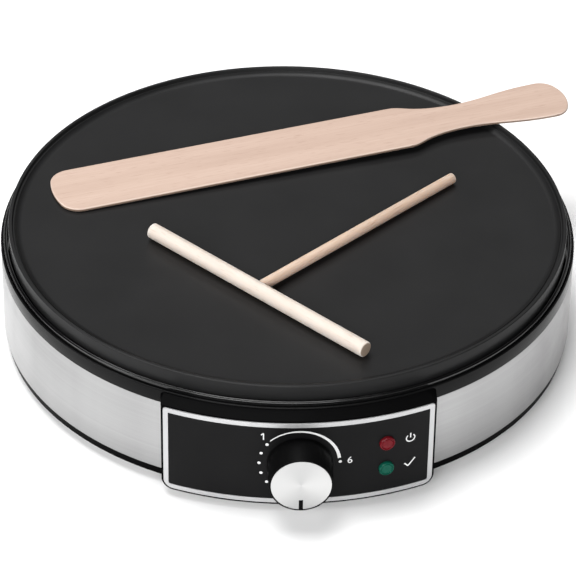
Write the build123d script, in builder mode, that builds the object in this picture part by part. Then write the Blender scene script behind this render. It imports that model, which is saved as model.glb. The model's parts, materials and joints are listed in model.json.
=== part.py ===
from build123d import *
import os
from math import acos, asin, atan2, cos, degrees, radians, sin, sqrt, tan

# Electric crepe maker: a round countertop griddle with a steel-banded body, a control panel at the front,
# and its wooden spatula and batter spreader lying on the plate.
# Millimetres. Origin on the body's axis at the surface it stands on, +Z up, the controls face -Y.

os.makedirs("parts", exist_ok=True)

CENTRE = (Align.CENTER, Align.CENTER, Align.CENTER)
STANDING = (Align.CENTER, Align.CENTER, Align.MIN)
HANGING = (Align.CENTER, Align.CENTER, Align.MAX)

# ---------------------------------------------------------------- driving dimensions
# cooking plate
plate_radius = 155.4           # outside of the plate; the pan, ring and body are built out from it
plate_top = 70.0               # flat cooking surface above the table
plate_rim_width = 7.5          # from the flat surface's edge to the outside
plate_crest_width = 1.2        # narrow top of the rim
plate_crest_round = 0.4
plate_rim_height = 3.3         # rim crest above the cooking surface
plate_thickness = 4.5
plate_skirt = 3.4              # rim wall below the plate's underside level

# reflector pan
pan_sheet = 1.0
pan_floor_depth = 14.5         # floor of the pan below the plate
pan_well_inset = 7.4           # well wall inside the plate's outside
pan_rim_gap = 0.8              # between the plate's edge and the pan's rim
pan_rim_height = 7.6           # rim above the pan's flange
pan_rim_bead = 2.2             # the rim's edge, rolled inwards
pan_bead_height = 1.7
pan_flange_rise = 6.0          # flange above the pan's floor

# body
foot_height = 4.0              # rubber showing below the base
lip_height = 5.8               # base lip below the steel band
lip_bottom_inset = 1.0
lip_top_inset = 0.2
band_thickness = 0.6
ring_lip_height = 8.2          # top ring above the steel band
ring_lip_thickness = 1.1
ring_lip_gap = 0.5             # groove between the pan's rim and the ring
ring_below_rim = 2.0           # ring's top below the pan's rim
shell_wall = 2.4
shell_floor = 2.5

# control panel
panel_depth = 8.0              # front of the fascia beyond the steel band
panel_half_width = 72.4
panel_wall = 2.0
panel_corner = 6.0
hood_front_drop = 3.0          # front edge of the sloping hood below the top ring
hood_back_drop = 1.0
trim_width = 2.6
trim_margin = 1.1              # housing showing outside the trim at the sides
trim_bottom_rise = 1.6         # trim above the housing's bottom
trim_top_drop = 1.0            # trim below the hood's front edge
trim_proud = 0.25
trim_inner_corner = 1.0
fascia_thickness = 0.6

# knob and dial
knob_axis_height = 32.0
knob_base_radius = 17.5
knob_face_radius = 16.5
knob_edge_round = 0.35
knob_length = 17.2
knob_gap = 0.9                 # between the knob's back and the fascia
knob_cap_radius = 15.8
knob_cap_thickness = 0.9
pointer_width = 2.1
pointer_length = 6.0
dial_radius = 21.3
dial_dot_radius = 0.85
dial_dot_step = 18.0
dial_dots = 5
dial_first_dot = 144.0
dial_arc_start = 136.5
dial_arc_end = 7.0
dial_arc_thin = 0.5
dial_arc_thick = 1.7
print_thickness = 0.1
shaft_radius = 3.0

# indicator lamps
lens_radius = 4.25
lens_chord = 45.9              # sideways place of both lenses
power_lens_height = 40.1
ready_lens_height = 23.2
lens_proud = 2.2

# heater
element_radius = 100.0
element_tube_radius = 3.5
element_gap_angle = 24.0       # opening of the C at the rear
element_bend = 9.0
element_tail_bottom = 42.0

# fasteners and fits
screw_radius = 1.6
screw_head_radius = 3.3
screw_head_height = 2.2
thread_clearance = 0.05
seat_clearance = 0.1
running_clearance = 0.05
cover_clearance = 0.2
foot_radius = 8.0
foot_stem_radius = 4.0
foot_inset = 30.0              # foot circle inside the body
foot_count = 4

# mains entry
gland_height = 22.0
cord_radius = 3.5
gland_bore_clearance = 0.2

# wooden tools
spatula_length = 311.5
spatula_thickness = 2.1
spatula_blade_half = 20.2
spatula_blade_arc = 45.0       # radius over the blade's end, between its corners
spatula_blade_corner = 12.0
spatula_fall_half = 16.8
spatula_neck_half = 12.2
spatula_grip_half = 17.6
spatula_grip_arc = 26.0
spatula_grip_corner = 11.0
spatula_edge_break = 0.5
spatula_shoulder = 207.6       # where the blade starts to narrow
spatula_fall = 218.6           # where it narrows fastest
spatula_neck = 252.6
spatula_tip = (-131.0, 25.9)   # blade end on the plate
spatula_bearing = 16.6         # degrees from +X
bar_length = 157.6
bar_radius = 4.4
bar_middle = (-19.8, -70.8)
bar_bearing = -45.0
handle_length = 151.5          # outside the bar
handle_bearing = 42.6          # a little askew of square to the bar
handle_radius = 3.05
handle_socket = 6.0
tool_clearance = 0.3

# ---------------------------------------------------------------- levels and radii that follow
plate_flat_radius = plate_radius - plate_rim_width
plate_crest_radius = plate_radius - plate_crest_width
plate_crest_top = plate_top + plate_rim_height
plate_under = plate_top - plate_thickness
pan_rim_inner = plate_radius + pan_rim_gap
pan_rim_outer = pan_rim_inner + pan_rim_bead
pan_well_radius = plate_radius - pan_well_inset
pan_floor_top = plate_under - pan_floor_depth
pan_floor_under = pan_floor_top - pan_sheet
pan_flange_top = pan_floor_top + pan_flange_rise
pan_flange_under = pan_flange_top - pan_sheet
ring_lip_inner = pan_rim_outer + ring_lip_gap
body_radius = ring_lip_inner + ring_lip_thickness
base_z = foot_height
floor_top = base_z + shell_floor
ring_top = pan_flange_top + pan_rim_height - ring_below_rim
foot_circle_radius = body_radius - foot_inset
band_top = ring_top - ring_lip_height
band_bottom = base_z + lip_height
band_height = band_top - band_bottom
band_inner = body_radius - band_thickness
wall_outer = band_inner - cover_clearance
wall_inner = wall_outer - shell_wall
wall_top = pan_floor_under
ring_shelf_top = pan_flange_under
ring_shelf_thickness = 2.6
pilot_radius = screw_radius + thread_clearance
panel_radius = body_radius + panel_depth
panel_top = ring_top - hood_front_drop
hood_back_top = ring_top - hood_back_drop
trim_bottom = base_z + trim_bottom_rise
trim_top = panel_top - trim_top_drop


# ---------------------------------------------------------------- helpers
def outline(points, plane=Plane.XZ):
    """Closed straight-sided face on a plane."""
    with BuildSketch(plane) as face:
        with BuildLine():
            Polyline(*points, close=True)
        make_face()
    return face.sketch


def end_reach(half_width, wide, corner):
    """How far the rounding of a flat tool's end reaches from the tip, for its wide arc and its corner arcs."""
    return wide - sqrt((wide - corner) ** 2 - (half_width - corner) ** 2)


def rounded_end(tip, inward, half_width, wide, corner):
    """Outline of a flat tool's end: a wide arc over the tip between two corner arcs; inward is 1 or -1."""
    reach = end_reach(half_width, wide, corner)
    meeting = asin((half_width - corner) / (wide - corner))
    corner_middle = (meeting + radians(90)) / 2

    def on_arc(centre, height, radius, angle, side):
        return (tip + inward * (centre - radius * cos(angle)), side * (height + radius * sin(angle)))

    for side in (1, -1):
        ThreePointArc(
            (tip + inward * reach, side * half_width),
            on_arc(reach, half_width - corner, corner, corner_middle, side),
            on_arc(reach, half_width - corner, corner, meeting, side),
        )
    ThreePointArc(on_arc(wide, 0, wide, meeting, 1), (tip, 0), on_arc(wide, 0, wide, meeting, -1))


panel_plane_y = 0.75 * body_radius    # any distance between the axis and the panel


def front_outline(half_width, bottom, top, corner):
    """Front view of the panel or a frame in it, rounded more at its lower corners."""
    with BuildSketch(Plane.XZ.offset(panel_plane_y)) as face:
        with Locations((0, (bottom + top) / 2)):
            Rectangle(2 * half_width, top - bottom)
        fillet(face.vertices().group_by(Axis.Y)[0], corner)
        fillet(face.vertices().group_by(Axis.Y)[-1], corner * 0.35)
    return face.sketch


def curved_slab(face, inner_radius, outer_radius, bottom, front_top, back_top):
    """The part of a front view that lies between two radii about the body's axis."""
    with BuildPart() as slab:
        extrude(face, amount=panel_radius)
        profile = [
            (inner_radius, bottom),
            (outer_radius, bottom),
            (outer_radius, front_top),
            (inner_radius, back_top),
        ]
        revolve(outline(profile), axis=Axis.Z, mode=Mode.INTERSECT)
    return slab.part


def radial_plane(angle, radius, height):
    """Plane facing outwards at an angle round the body."""
    outwards = Vector(cos(radians(angle)), sin(radians(angle)), 0)
    return Plane(origin=outwards * radius + Vector(0, 0, height), x_dir=(0, 0, 1), z_dir=outwards)


def add_screws(shank_length, shank=screw_radius, head=screw_head_radius, head_height=screw_head_height):
    """Cross-head screw at each current location: seat at the origin, shank along -Z, head along +Z."""
    Cylinder(shank, shank_length, align=HANGING)
    Cylinder(head, head_height, align=STANDING)
    with Locations((0, 0, head_height)):
        for turn in (0, 90):
            Box(head * 1.2, 0.9, head_height, rotation=(0, 0, turn), align=CENTRE, mode=Mode.SUBTRACT)


def lead(points, radius):
    """Insulated wire or tube along straight runs joined by arcs as large as the runs allow."""
    corners = [Vector(*point) for point in points]
    arcs = []
    for before, corner, after in zip(corners, corners[1:], corners[2:]):
        turn = radians((corner - before).get_angle(after - corner))
        shorter_run = min((corner - before).length, (after - corner).length)
        arcs.append(0.45 * shorter_run / tan(turn / 2))
    with BuildLine() as route:
        FilletPolyline(*corners, radius=arcs)
    with BuildPart() as wire:
        with BuildSketch(Plane(origin=route.line @ 0, z_dir=route.line % 0)):
            Circle(radius)
        sweep(path=route.line)
    return wire.part


# ---------------------------------------------------------------- fixings shared by several pieces
ring_screw_count = 6
ring_screw_radius = (pan_well_radius + wall_inner) / 2
ring_screw_gap = 42.0          # half angle kept clear at the panel
ring_screw_pitch = (360 - 2 * ring_screw_gap) / (ring_screw_count - 1)
ring_screw_angles = [270 + ring_screw_gap + n * ring_screw_pitch for n in range(ring_screw_count)]
ring_boss_radius = (wall_inner - pan_well_radius) / 2 - 0.6
head_clearance = 0.3
ring_column_radius = screw_head_radius + head_clearance + 1.6
ring_screw_seat = 36.0

pan_screw_circle = 104.0
pan_pillar_radius = 4.5
pan_screw_depth = 11.0
plate_screw_circle = 58.0
plate_screw_radius = 2.0
plate_boss_height = 4.5
four_corners = 4
corner_angle = 45.0

panel_screw_offset = 59.94      # each side of the panel's middle
panel_screw_angle = degrees(asin(panel_screw_offset / body_radius))
panel_screw_heights = (16.0, 48.0)
panel_boss_radius = 3.8
window_half_width = 50.76      # opening in the wall and the band, behind the lamps and the thermostat
window_bottom = 12.0

clamp_screw_offset = 12.0
clamp_y = wall_inner - 15.8
clamp_post_top = gland_height

bracket_screw_offset = 22.0
bracket_screw_y = 26.0 - body_radius
bracket_post_top = 13.0
bracket_sheet = 1.5
bracket_face_y = 10.0 - body_radius   # front of the bracket's upright

block_centre = (44.0, clamp_y - 29.0)
block_length = 36.0
block_width = 18.0
block_height = 14.0
block_post_top = 12.0


def ring_screw_locations(height):
    """Places of the screws that hold the top ring, at a height."""
    return [
        Location((ring_screw_radius * cos(radians(a)), ring_screw_radius * sin(radians(a)), height))
        for a in ring_screw_angles
    ]


def panel_screw_planes(radius):
    """Outward-facing planes of the screws that hold the control panel."""
    return [
        radial_plane(270 + side * panel_screw_angle, radius, height)
        for side in (-1, 1)
        for height in panel_screw_heights
    ]


# ---------------------------------------------------------------- base shell
with BuildPart() as base_shell:
    shell_profile = [
        (0, base_z),
        (body_radius - lip_bottom_inset - 0.8, base_z),
        (body_radius - lip_bottom_inset, base_z + 0.8),
        (body_radius - lip_top_inset, band_bottom - 0.5),
        (body_radius - lip_top_inset - 0.3, band_bottom),
        (wall_outer, band_bottom),
        (wall_outer, wall_top),
        (wall_inner, wall_top),
        (wall_inner, floor_top),
        (0, floor_top),
    ]
    revolve(outline(shell_profile), axis=Axis.Z)
    with Locations(*ring_screw_locations(base_z)):
        Cylinder(ring_column_radius, wall_top - base_z, align=STANDING)
        Cylinder(pilot_radius + 0.2, wall_top - base_z, align=STANDING, mode=Mode.SUBTRACT)
        Cylinder(screw_head_radius + head_clearance, ring_screw_seat - base_z, align=STANDING, mode=Mode.SUBTRACT)
    with Locations((0, 0, floor_top)):
        with PolarLocations(pan_screw_circle, four_corners, corner_angle):
            Cylinder(pan_pillar_radius, wall_top - floor_top, align=STANDING)
    with Locations((0, 0, wall_top)):
        with PolarLocations(pan_screw_circle, four_corners, corner_angle):
            Hole(pilot_radius, depth=pan_screw_depth + 1)
    with Locations((0, 0, base_z)):
        with PolarLocations(foot_circle_radius, foot_count, corner_angle):
            Cylinder(foot_stem_radius + seat_clearance, shell_floor, align=STANDING, mode=Mode.SUBTRACT)
    # cooling slots under the heater
    with BuildSketch(Plane.XY.offset(base_z)):
        with PolarLocations(78, 24, 7.5):
            SlotOverall(26, 3.5)
        with PolarLocations(40, 12, 15):
            SlotOverall(22, 3.5)
    extrude(amount=shell_floor, mode=Mode.SUBTRACT)
    # window behind the control panel
    with BuildSketch(Plane.XZ.offset(wall_inner - 30)):
        with Locations((0, (window_bottom + wall_top) / 2 + 1)):
            Rectangle(2 * window_half_width, wall_top - window_bottom + 2)
    extrude(amount=60, mode=Mode.SUBTRACT)
    # posts for the thermostat bracket, the terminal block and the cord clamp
    with Locations(*[(side * bracket_screw_offset, bracket_screw_y, floor_top) for side in (-1, 1)]):
        Cylinder(3.8, bracket_post_top - floor_top, align=STANDING)
        Cylinder(pilot_radius, bracket_post_top - floor_top, align=STANDING, mode=Mode.SUBTRACT)
    with Locations((*block_centre, floor_top)):
        Cylinder(3.8, block_post_top - floor_top, align=STANDING)
        Cylinder(pilot_radius, block_post_top - floor_top, align=STANDING, mode=Mode.SUBTRACT)
    with Locations((0, clamp_y, floor_top)):
        Box(2 * clamp_screw_offset + 7, 7, clamp_post_top - floor_top, align=STANDING)
    with Locations(Location((0, clamp_y, gland_height), (90, 0, 0))):
        Cylinder(cord_radius + gland_bore_clearance, 9, mode=Mode.SUBTRACT)
    with Locations(*[(side * clamp_screw_offset, clamp_y, clamp_post_top) for side in (-1, 1)]):
        Hole(pilot_radius, depth=10)
    # cord entry and panel screw holes through the wall
    with Locations(radial_plane(90, wall_inner - 2, gland_height)):
        Cylinder(7.2, 10, align=STANDING, mode=Mode.SUBTRACT)
    for place in panel_screw_planes(wall_inner - 2):
        with Locations(place):
            Cylinder(pilot_radius + 0.2, 10, align=STANDING, mode=Mode.SUBTRACT)
base_shell.part.label = "base_shell"
export_step(base_shell.part, "parts/base_shell.step")

# ---------------------------------------------------------------- steel band
with BuildPart() as steel_band:
    band_profile = [
        (band_inner, band_bottom),
        (body_radius, band_bottom),
        (body_radius, band_top),
        (band_inner, band_top),
    ]
    revolve(outline(band_profile), axis=Axis.Z)
    with BuildSketch(Plane.XZ.offset(body_radius - 30)):
        with Locations((0, (band_bottom + band_top) / 2)):
            Rectangle(2 * window_half_width, band_height + 2)
    extrude(amount=40, mode=Mode.SUBTRACT)
    with Locations(radial_plane(90, band_inner - 2, gland_height)):
        Cylinder(7.2, 6, align=STANDING, mode=Mode.SUBTRACT)
    for place in panel_screw_planes(band_inner - 2):
        with Locations(place):
            Cylinder(pilot_radius + 0.3, 6, align=STANDING, mode=Mode.SUBTRACT)
steel_band.part.label = "steel_band"
export_step(steel_band.part, "parts/steel_band.step")

# ---------------------------------------------------------------- top ring
with BuildPart() as top_ring:
    skirt_bottom = wall_top + cover_clearance
    ring_profile = [
        (pan_well_radius + 0.5, ring_shelf_top - ring_shelf_thickness),
        (wall_inner + cover_clearance, ring_shelf_top - ring_shelf_thickness),
        (wall_inner + cover_clearance, skirt_bottom),
        (wall_outer, skirt_bottom),
        (wall_outer, band_top),
        (body_radius, band_top),
        (body_radius, ring_top - 1.0),
        (body_radius - 0.15, ring_top - 0.5),
        (body_radius - 0.5, ring_top - 0.1),
        (body_radius - 0.8, ring_top),
        (ring_lip_inner + 0.1, ring_top - 0.1),
        (ring_lip_inner, ring_top - 0.3),
        (ring_lip_inner, ring_shelf_top),
        (pan_well_radius + 0.5, ring_shelf_top),
    ]
    revolve(outline(ring_profile), axis=Axis.Z)
    with Locations(*ring_screw_locations(skirt_bottom)):
        Cylinder(ring_boss_radius, ring_shelf_top - skirt_bottom, align=STANDING)
    with Locations(*ring_screw_locations(skirt_bottom)):
        Cylinder(pilot_radius, ring_shelf_top - skirt_bottom - 1, align=STANDING, mode=Mode.SUBTRACT)
top_ring.part.label = "top_ring"
export_step(top_ring.part, "parts/top_ring.step")

with BuildPart() as ring_screws:
    for place in ring_screw_locations(ring_screw_seat):
        with Locations(place * Rotation(180, 0, 0)):
            add_screws(ring_shelf_top - 1.5 - ring_screw_seat)
ring_screws.part.label = "ring_screws"
export_step(ring_screws.part, "parts/ring_screws.step")

# ---------------------------------------------------------------- reflector pan
element_tail_angles = [90 - element_gap_angle / 2, 90 + element_gap_angle / 2]


def on_circle(radius, angle, height=0.0):
    """Point at a radius and angle about the body's axis."""
    return Vector(radius * cos(radians(angle)), radius * sin(radians(angle)), height)


def tail_point(angle, height):
    """Where a heater tail goes straight down, one bend past the end of its arc."""
    towards_gap = 1 if angle < 90 else -1
    tangent = Vector(-sin(radians(angle)), cos(radians(angle)), 0) * towards_gap
    return on_circle(element_radius, angle, height) + tangent * element_bend


capillary_hole = (-18.0, -40.0)
grommet_radius = 4.0
earth_place = (60.0, 30.0)
lug_sheet = 0.8
fuse_place = (-40.0, 30.0)
fuse_strap_reach = 7.0
rivet_radius = 1.2


def rivet_points(height):
    """Places of the two rivets that hold the fuse strap under the pan."""
    return [(fuse_place[0] + side * fuse_strap_reach, fuse_place[1], height) for side in (-1, 1)]


with BuildPart() as reflector_pan:
    pan_profile = [
        (0, pan_floor_under),
        (pan_well_radius, pan_floor_under),
        (pan_well_radius, pan_flange_under),
        (pan_rim_outer, pan_flange_under),
        (pan_rim_outer, pan_flange_top + pan_rim_height - 0.3),
        (pan_rim_outer - 0.3, pan_flange_top + pan_rim_height),
        (pan_rim_inner + 0.3, pan_flange_top + pan_rim_height),
        (pan_rim_inner, pan_flange_top + pan_rim_height - 0.3),
        (pan_rim_inner, pan_flange_top + pan_rim_height - pan_bead_height + 0.3),
        (pan_rim_inner + 0.3, pan_flange_top + pan_rim_height - pan_bead_height),
        (pan_rim_outer - pan_sheet, pan_flange_top + pan_rim_height - pan_bead_height),
        (pan_rim_outer - pan_sheet, pan_flange_top),
        (pan_well_radius - pan_sheet, pan_flange_top),
        (pan_well_radius - pan_sheet, pan_floor_top),
        (0, pan_floor_top),
    ]
    revolve(outline(pan_profile), axis=Axis.Z)
    with Locations((0, 0, pan_floor_top)):
        with PolarLocations(pan_screw_circle, four_corners, corner_angle):
            Hole(pilot_radius + 0.2, depth=pan_sheet)
        with PolarLocations(plate_screw_circle, four_corners, 0):
            Hole(plate_screw_radius + 0.2, depth=pan_sheet)
        with Locations(*[tail_point(angle, 0) for angle in element_tail_angles]):
            Hole(element_tube_radius + 1.5, depth=pan_sheet)
        with Locations(capillary_hole):
            Hole(grommet_radius, depth=pan_sheet)
        with Locations(earth_place):
            Hole(pilot_radius, depth=pan_sheet)
    with Locations(*rivet_points(pan_floor_top)):
        Hole(rivet_radius + thread_clearance, depth=pan_sheet)
reflector_pan.part.label = "reflector_pan"
export_step(reflector_pan.part, "parts/reflector_pan.step")

with BuildPart() as pan_screws:
    with Locations((0, 0, pan_floor_top)):
        with PolarLocations(pan_screw_circle, four_corners, corner_angle):
            add_screws(pan_screw_depth)
pan_screws.part.label = "pan_screws"
export_step(pan_screws.part, "parts/pan_screws.step")

# ---------------------------------------------------------------- cooking plate
channel_wall = 2.4
channel_clearance = 0.1
channel_depth = 5.0
strap_reach = 12.0             # strap screws each side of the heater tube
strap_boss_radius = 3.8
element_height = plate_under - element_tube_radius - channel_clearance
strap_seat = element_height - element_tube_radius
strap_sheet = 1.2
strap_angles = [20, 160, 225, 315]
bulb_radius = 3.0
bulb_length = 44.0
bulb_height = plate_under - bulb_radius - channel_clearance
clip_reach = 9.0

clip_seat = bulb_height


def strap_screw_points(height):
    """Screw places of the heater straps, one each side of the tube at every strap."""
    reach = (-strap_reach, strap_reach)
    return [on_circle(element_radius + side, angle, height) for angle in strap_angles for side in reach]


def clip_screw_points(height):
    """Screw places of the clip that holds the sensor bulb."""
    return [(0, -clip_reach, height), (0, clip_reach, height)]


# the plate's edge sweeps up in a hollow that leaves the flat surface smoothly
rim_run = plate_crest_radius - plate_flat_radius
rim_hollow = (rim_run**2 + plate_rim_height**2) / (2 * plate_rim_height)
hollow_angle = asin(rim_run / rim_hollow)

with BuildPart() as cooking_plate:
    with BuildSketch(Plane.XZ):
        with BuildLine():
            Polyline(
                (plate_flat_radius, plate_top),
                (0, plate_top),
                (0, plate_under),
                (plate_flat_radius - 2, plate_under),
                (plate_flat_radius + 3, plate_under + 1.2),
                (plate_radius - 3.2, plate_under + 1.2),
                (plate_radius - 3.2, plate_under - plate_skirt + 1),
                (plate_radius - 1.4, plate_under - plate_skirt),
                (plate_radius, plate_under - plate_skirt + 1),
                (plate_radius, plate_crest_top - plate_crest_round),
                (plate_radius - plate_crest_round, plate_crest_top),
                (plate_crest_radius, plate_crest_top),
            )
            ThreePointArc(
                (plate_flat_radius, plate_top),
                (plate_flat_radius + rim_hollow * sin(hollow_angle / 2),
                 plate_top + rim_hollow * (1 - cos(hollow_angle / 2))),
                (plate_crest_radius, plate_crest_top),
            )
        make_face()
    revolve(axis=Axis.Z)
    # walls either side of the heater tube
    with BuildSketch(Plane.XY.offset(plate_under)):
        for side in (1, -1):
            middle = element_radius + side * (element_tube_radius + channel_clearance + channel_wall / 2)
            Circle(middle + channel_wall / 2)
            Circle(middle - channel_wall / 2, mode=Mode.SUBTRACT)
    extrude(amount=-channel_depth)
    # bosses for the plate screws, the heater straps and the sensor clip
    with Locations((0, 0, plate_under - plate_boss_height)):
        with PolarLocations(plate_screw_circle, four_corners, 0):
            Cylinder(6, plate_boss_height + 1, align=STANDING)
            Cylinder(plate_screw_radius + thread_clearance, plate_boss_height + 1,
                     align=STANDING, mode=Mode.SUBTRACT)
    with Locations(*strap_screw_points(strap_seat)):
        Cylinder(strap_boss_radius, plate_under - strap_seat + 1, align=STANDING)
        Cylinder(pilot_radius, plate_under - strap_seat + 1, align=STANDING, mode=Mode.SUBTRACT)
    with Locations(*clip_screw_points(clip_seat)):
        Cylinder(3.6, plate_under - clip_seat + 1, align=STANDING)
        Cylinder(pilot_radius, plate_under - clip_seat + 1, align=STANDING, mode=Mode.SUBTRACT)
cooking_plate.part.label = "cooking_plate"
export_step(cooking_plate.part, "parts/cooking_plate.step")

# plate fixing: spacer tubes on the pan, screws from below it
with BuildPart() as plate_spacers:
    with Locations((0, 0, pan_floor_top)):
        with PolarLocations(plate_screw_circle, four_corners, 0):
            Cylinder(5, plate_under - plate_boss_height - pan_floor_top, align=STANDING)
            Cylinder(plate_screw_radius + 0.2, plate_under, align=STANDING, mode=Mode.SUBTRACT)
plate_spacers.part.label = "plate_spacers"
export_step(plate_spacers.part, "parts/plate_spacers.step")

with BuildPart() as plate_screws:
    with Locations(Location((0, 0, pan_floor_under), (180, 0, 0))):
        with PolarLocations(plate_screw_circle, four_corners, 0):
            add_screws(plate_under - pan_floor_under, plate_screw_radius, 3.6, 2.4)
plate_screws.part.label = "plate_screws"
export_step(plate_screws.part, "parts/plate_screws.step")

# ---------------------------------------------------------------- heating element
def heater_bend(angle):
    """Quarter bend from the end of the heater's arc to its downward tail."""
    start = on_circle(element_radius, angle, element_height)
    end = tail_point(angle, element_height - element_bend)
    centre = start - Vector(0, 0, element_bend)
    along = (end - centre).normalized()
    middle = centre + (along + Vector(0, 0, 1)).normalized() * element_bend
    return start, middle, end


with BuildPart() as heating_element:
    with BuildLine() as heater_route:
        start_tail, start_middle, start_bend = heater_bend(element_tail_angles[1])[::-1]
        end_bend, end_middle, end_tail = heater_bend(element_tail_angles[0])
        Line(Vector(start_tail.X, start_tail.Y, element_tail_bottom), start_tail)
        ThreePointArc(start_tail, start_middle, start_bend)
        ThreePointArc(start_bend, on_circle(element_radius, 270, element_height), end_bend)
        ThreePointArc(end_bend, end_middle, end_tail)
        Line(end_tail, Vector(end_tail.X, end_tail.Y, element_tail_bottom))
    with BuildSketch(Plane(origin=heater_route.line @ 0, z_dir=heater_route.line % 0)):
        Circle(element_tube_radius)
    sweep(path=heater_route.line)
heating_element.part.label = "heating_element"
export_step(heating_element.part, "parts/heating_element.step")

pin_radius = 1.2
pin_length = 14.0
insulator_length = 5.0
with BuildPart() as element_insulators:
    with Locations(*[tail_point(angle, element_tail_bottom) for angle in element_tail_angles]):
        Cylinder(element_tube_radius - 0.6, insulator_length, align=HANGING)
        Cylinder(pin_radius + thread_clearance, insulator_length, align=HANGING, mode=Mode.SUBTRACT)
element_insulators.part.label = "element_insulators"
export_step(element_insulators.part, "parts/element_insulators.step")

pin_bottom = element_tail_bottom - pin_length
with BuildPart() as element_pins:
    with Locations(*[tail_point(angle, element_tail_bottom) for angle in element_tail_angles]):
        Cylinder(pin_radius, pin_length, align=HANGING)
element_pins.part.label = "element_pins"
export_step(element_pins.part, "parts/element_pins.step")

with BuildPart() as heater_straps:
    for angle in strap_angles:
        with Locations(Location(on_circle(element_radius, angle, strap_seat), (0, 0, angle))):
            Box(2 * (strap_reach + strap_boss_radius), 8, strap_sheet, align=HANGING)
    with Locations(*strap_screw_points(strap_seat)):
        Cylinder(screw_radius + 0.2, strap_sheet, align=HANGING, mode=Mode.SUBTRACT)
heater_straps.part.label = "heater_straps"
export_step(heater_straps.part, "parts/heater_straps.step")

with BuildPart() as strap_screws:
    for point in strap_screw_points(strap_seat - strap_sheet):
        with Locations(Location(point, (180, 0, 0))):
            add_screws(6.0, head_height=1.8)
strap_screws.part.label = "strap_screws"
export_step(strap_screws.part, "parts/strap_screws.step")

# ---------------------------------------------------------------- control panel
panel_back = body_radius + 0.15
panel_skin = panel_radius - fascia_thickness
housing_outline = front_outline(panel_half_width, base_z, hood_back_top, panel_corner)
housing_slab = curved_slab(housing_outline, panel_back, panel_skin, base_z, panel_top, hood_back_top)
cavity_outline = front_outline(
    panel_half_width - panel_wall, base_z + panel_wall, hood_back_top, panel_corner - panel_wall
)
cavity_slab = curved_slab(
    cavity_outline,
    panel_back - 1,
    panel_skin - panel_wall,
    base_z,
    panel_top - panel_wall,
    hood_back_top - panel_wall,
)
lens_angle = 360 - degrees(acos(lens_chord / panel_radius))


def lens_planes(radius):
    """Outward-facing planes on the two lens axes."""
    return [radial_plane(lens_angle, radius, height) for height in (power_lens_height, ready_lens_height)]


knob_plane = Plane(origin=(0, 0, knob_axis_height), x_dir=(1, 0, 0), z_dir=(0, -1, 0))
panel_hole_radius = shaft_radius + 1.0

with BuildPart() as control_panel:
    add(housing_slab)
    add(cavity_slab, mode=Mode.SUBTRACT)
    for place in panel_screw_planes(panel_back + 0.05):
        with Locations(place):
            Cylinder(panel_boss_radius, panel_skin - panel_wall + 0.5 - panel_back, align=STANDING)
            Cylinder(pilot_radius, panel_skin - panel_wall - panel_back, align=STANDING, mode=Mode.SUBTRACT)
    for place in lens_planes(panel_back):
        with Locations(place):
            Cylinder(lens_radius + seat_clearance, 10, align=STANDING, mode=Mode.SUBTRACT)
    with Locations(knob_plane.offset(panel_back)):
        Cylinder(panel_hole_radius, 10, align=STANDING, mode=Mode.SUBTRACT)
control_panel.part.label = "control_panel"
export_step(control_panel.part, "parts/control_panel.step")

trim_half_width = panel_half_width - trim_margin
trim_outer_face = front_outline(trim_half_width, trim_bottom, trim_top, panel_corner - trim_margin)
trim_inner_face = front_outline(
    trim_half_width - trim_width,
    trim_bottom + trim_width,
    trim_top - trim_width,
    trim_inner_corner,
)
trim_slab = curved_slab(trim_outer_face, panel_skin, panel_radius + trim_proud, base_z, ring_top, ring_top)
trim_window = curved_slab(trim_inner_face, panel_skin - 1, panel_radius + 1, base_z, ring_top, ring_top)
with BuildPart() as panel_trim:
    add(trim_slab)
    add(trim_window, mode=Mode.SUBTRACT)
panel_trim.part.label = "panel_trim"
export_step(panel_trim.part, "parts/panel_trim.step")

fascia_face = front_outline(
    trim_half_width - trim_width - seat_clearance,
    trim_bottom + trim_width + seat_clearance,
    trim_top - trim_width - seat_clearance,
    trim_inner_corner - seat_clearance,
)
fascia_slab = curved_slab(fascia_face, panel_skin + running_clearance, panel_radius, base_z, ring_top, ring_top)
with BuildPart() as panel_fascia:
    add(fascia_slab)
    for place in lens_planes(panel_skin - 1):
        with Locations(place):
            Cylinder(lens_radius + seat_clearance, 4, align=STANDING, mode=Mode.SUBTRACT)
    with Locations(knob_plane.offset(panel_skin - 1)):
        Cylinder(panel_hole_radius, 4, align=STANDING, mode=Mode.SUBTRACT)
panel_fascia.part.label = "panel_fascia"
export_step(panel_fascia.part, "parts/panel_fascia.step")


# printed scale: dots up the low side, an arc that thickens towards the hot side, and the last dot
def dial_point(radius, angle):
    """Point of the dial's front view, measured from the knob's axis."""
    return (radius * cos(radians(angle)), knob_axis_height + radius * sin(radians(angle)))


dot_angles = [dial_first_dot + n * dial_dot_step for n in range(dial_dots)] + [0]
arc_middle = (dial_arc_start + dial_arc_end) / 2
arc_outer = dial_radius + dial_arc_thin
arc_ends = [(dial_arc_start, dial_arc_thin), (arc_middle, (dial_arc_thin + dial_arc_thick) / 2),
            (dial_arc_end, dial_arc_thick)]
with BuildSketch(Plane.XZ.offset(panel_plane_y)) as dial_face:
    with BuildLine():
        outer_arc = ThreePointArc(*[dial_point(arc_outer, angle) for angle, _ in arc_ends])
        inner_arc = ThreePointArc(*[dial_point(arc_outer - width, angle) for angle, width in arc_ends])
        Line(outer_arc @ 0, inner_arc @ 0)
        Line(outer_arc @ 1, inner_arc @ 1)
    make_face()
    with Locations(*[dial_point(dial_radius, angle) for angle in dot_angles]):
        Circle(dial_dot_radius)
dial_slab = curved_slab(dial_face.sketch, panel_radius, panel_radius + print_thickness, base_z, ring_top, ring_top)
with BuildPart() as dial_print:
    add(dial_slab)
dial_print.part.label = "dial_print"
export_step(dial_print.part, "parts/dial_print.step")

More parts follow.
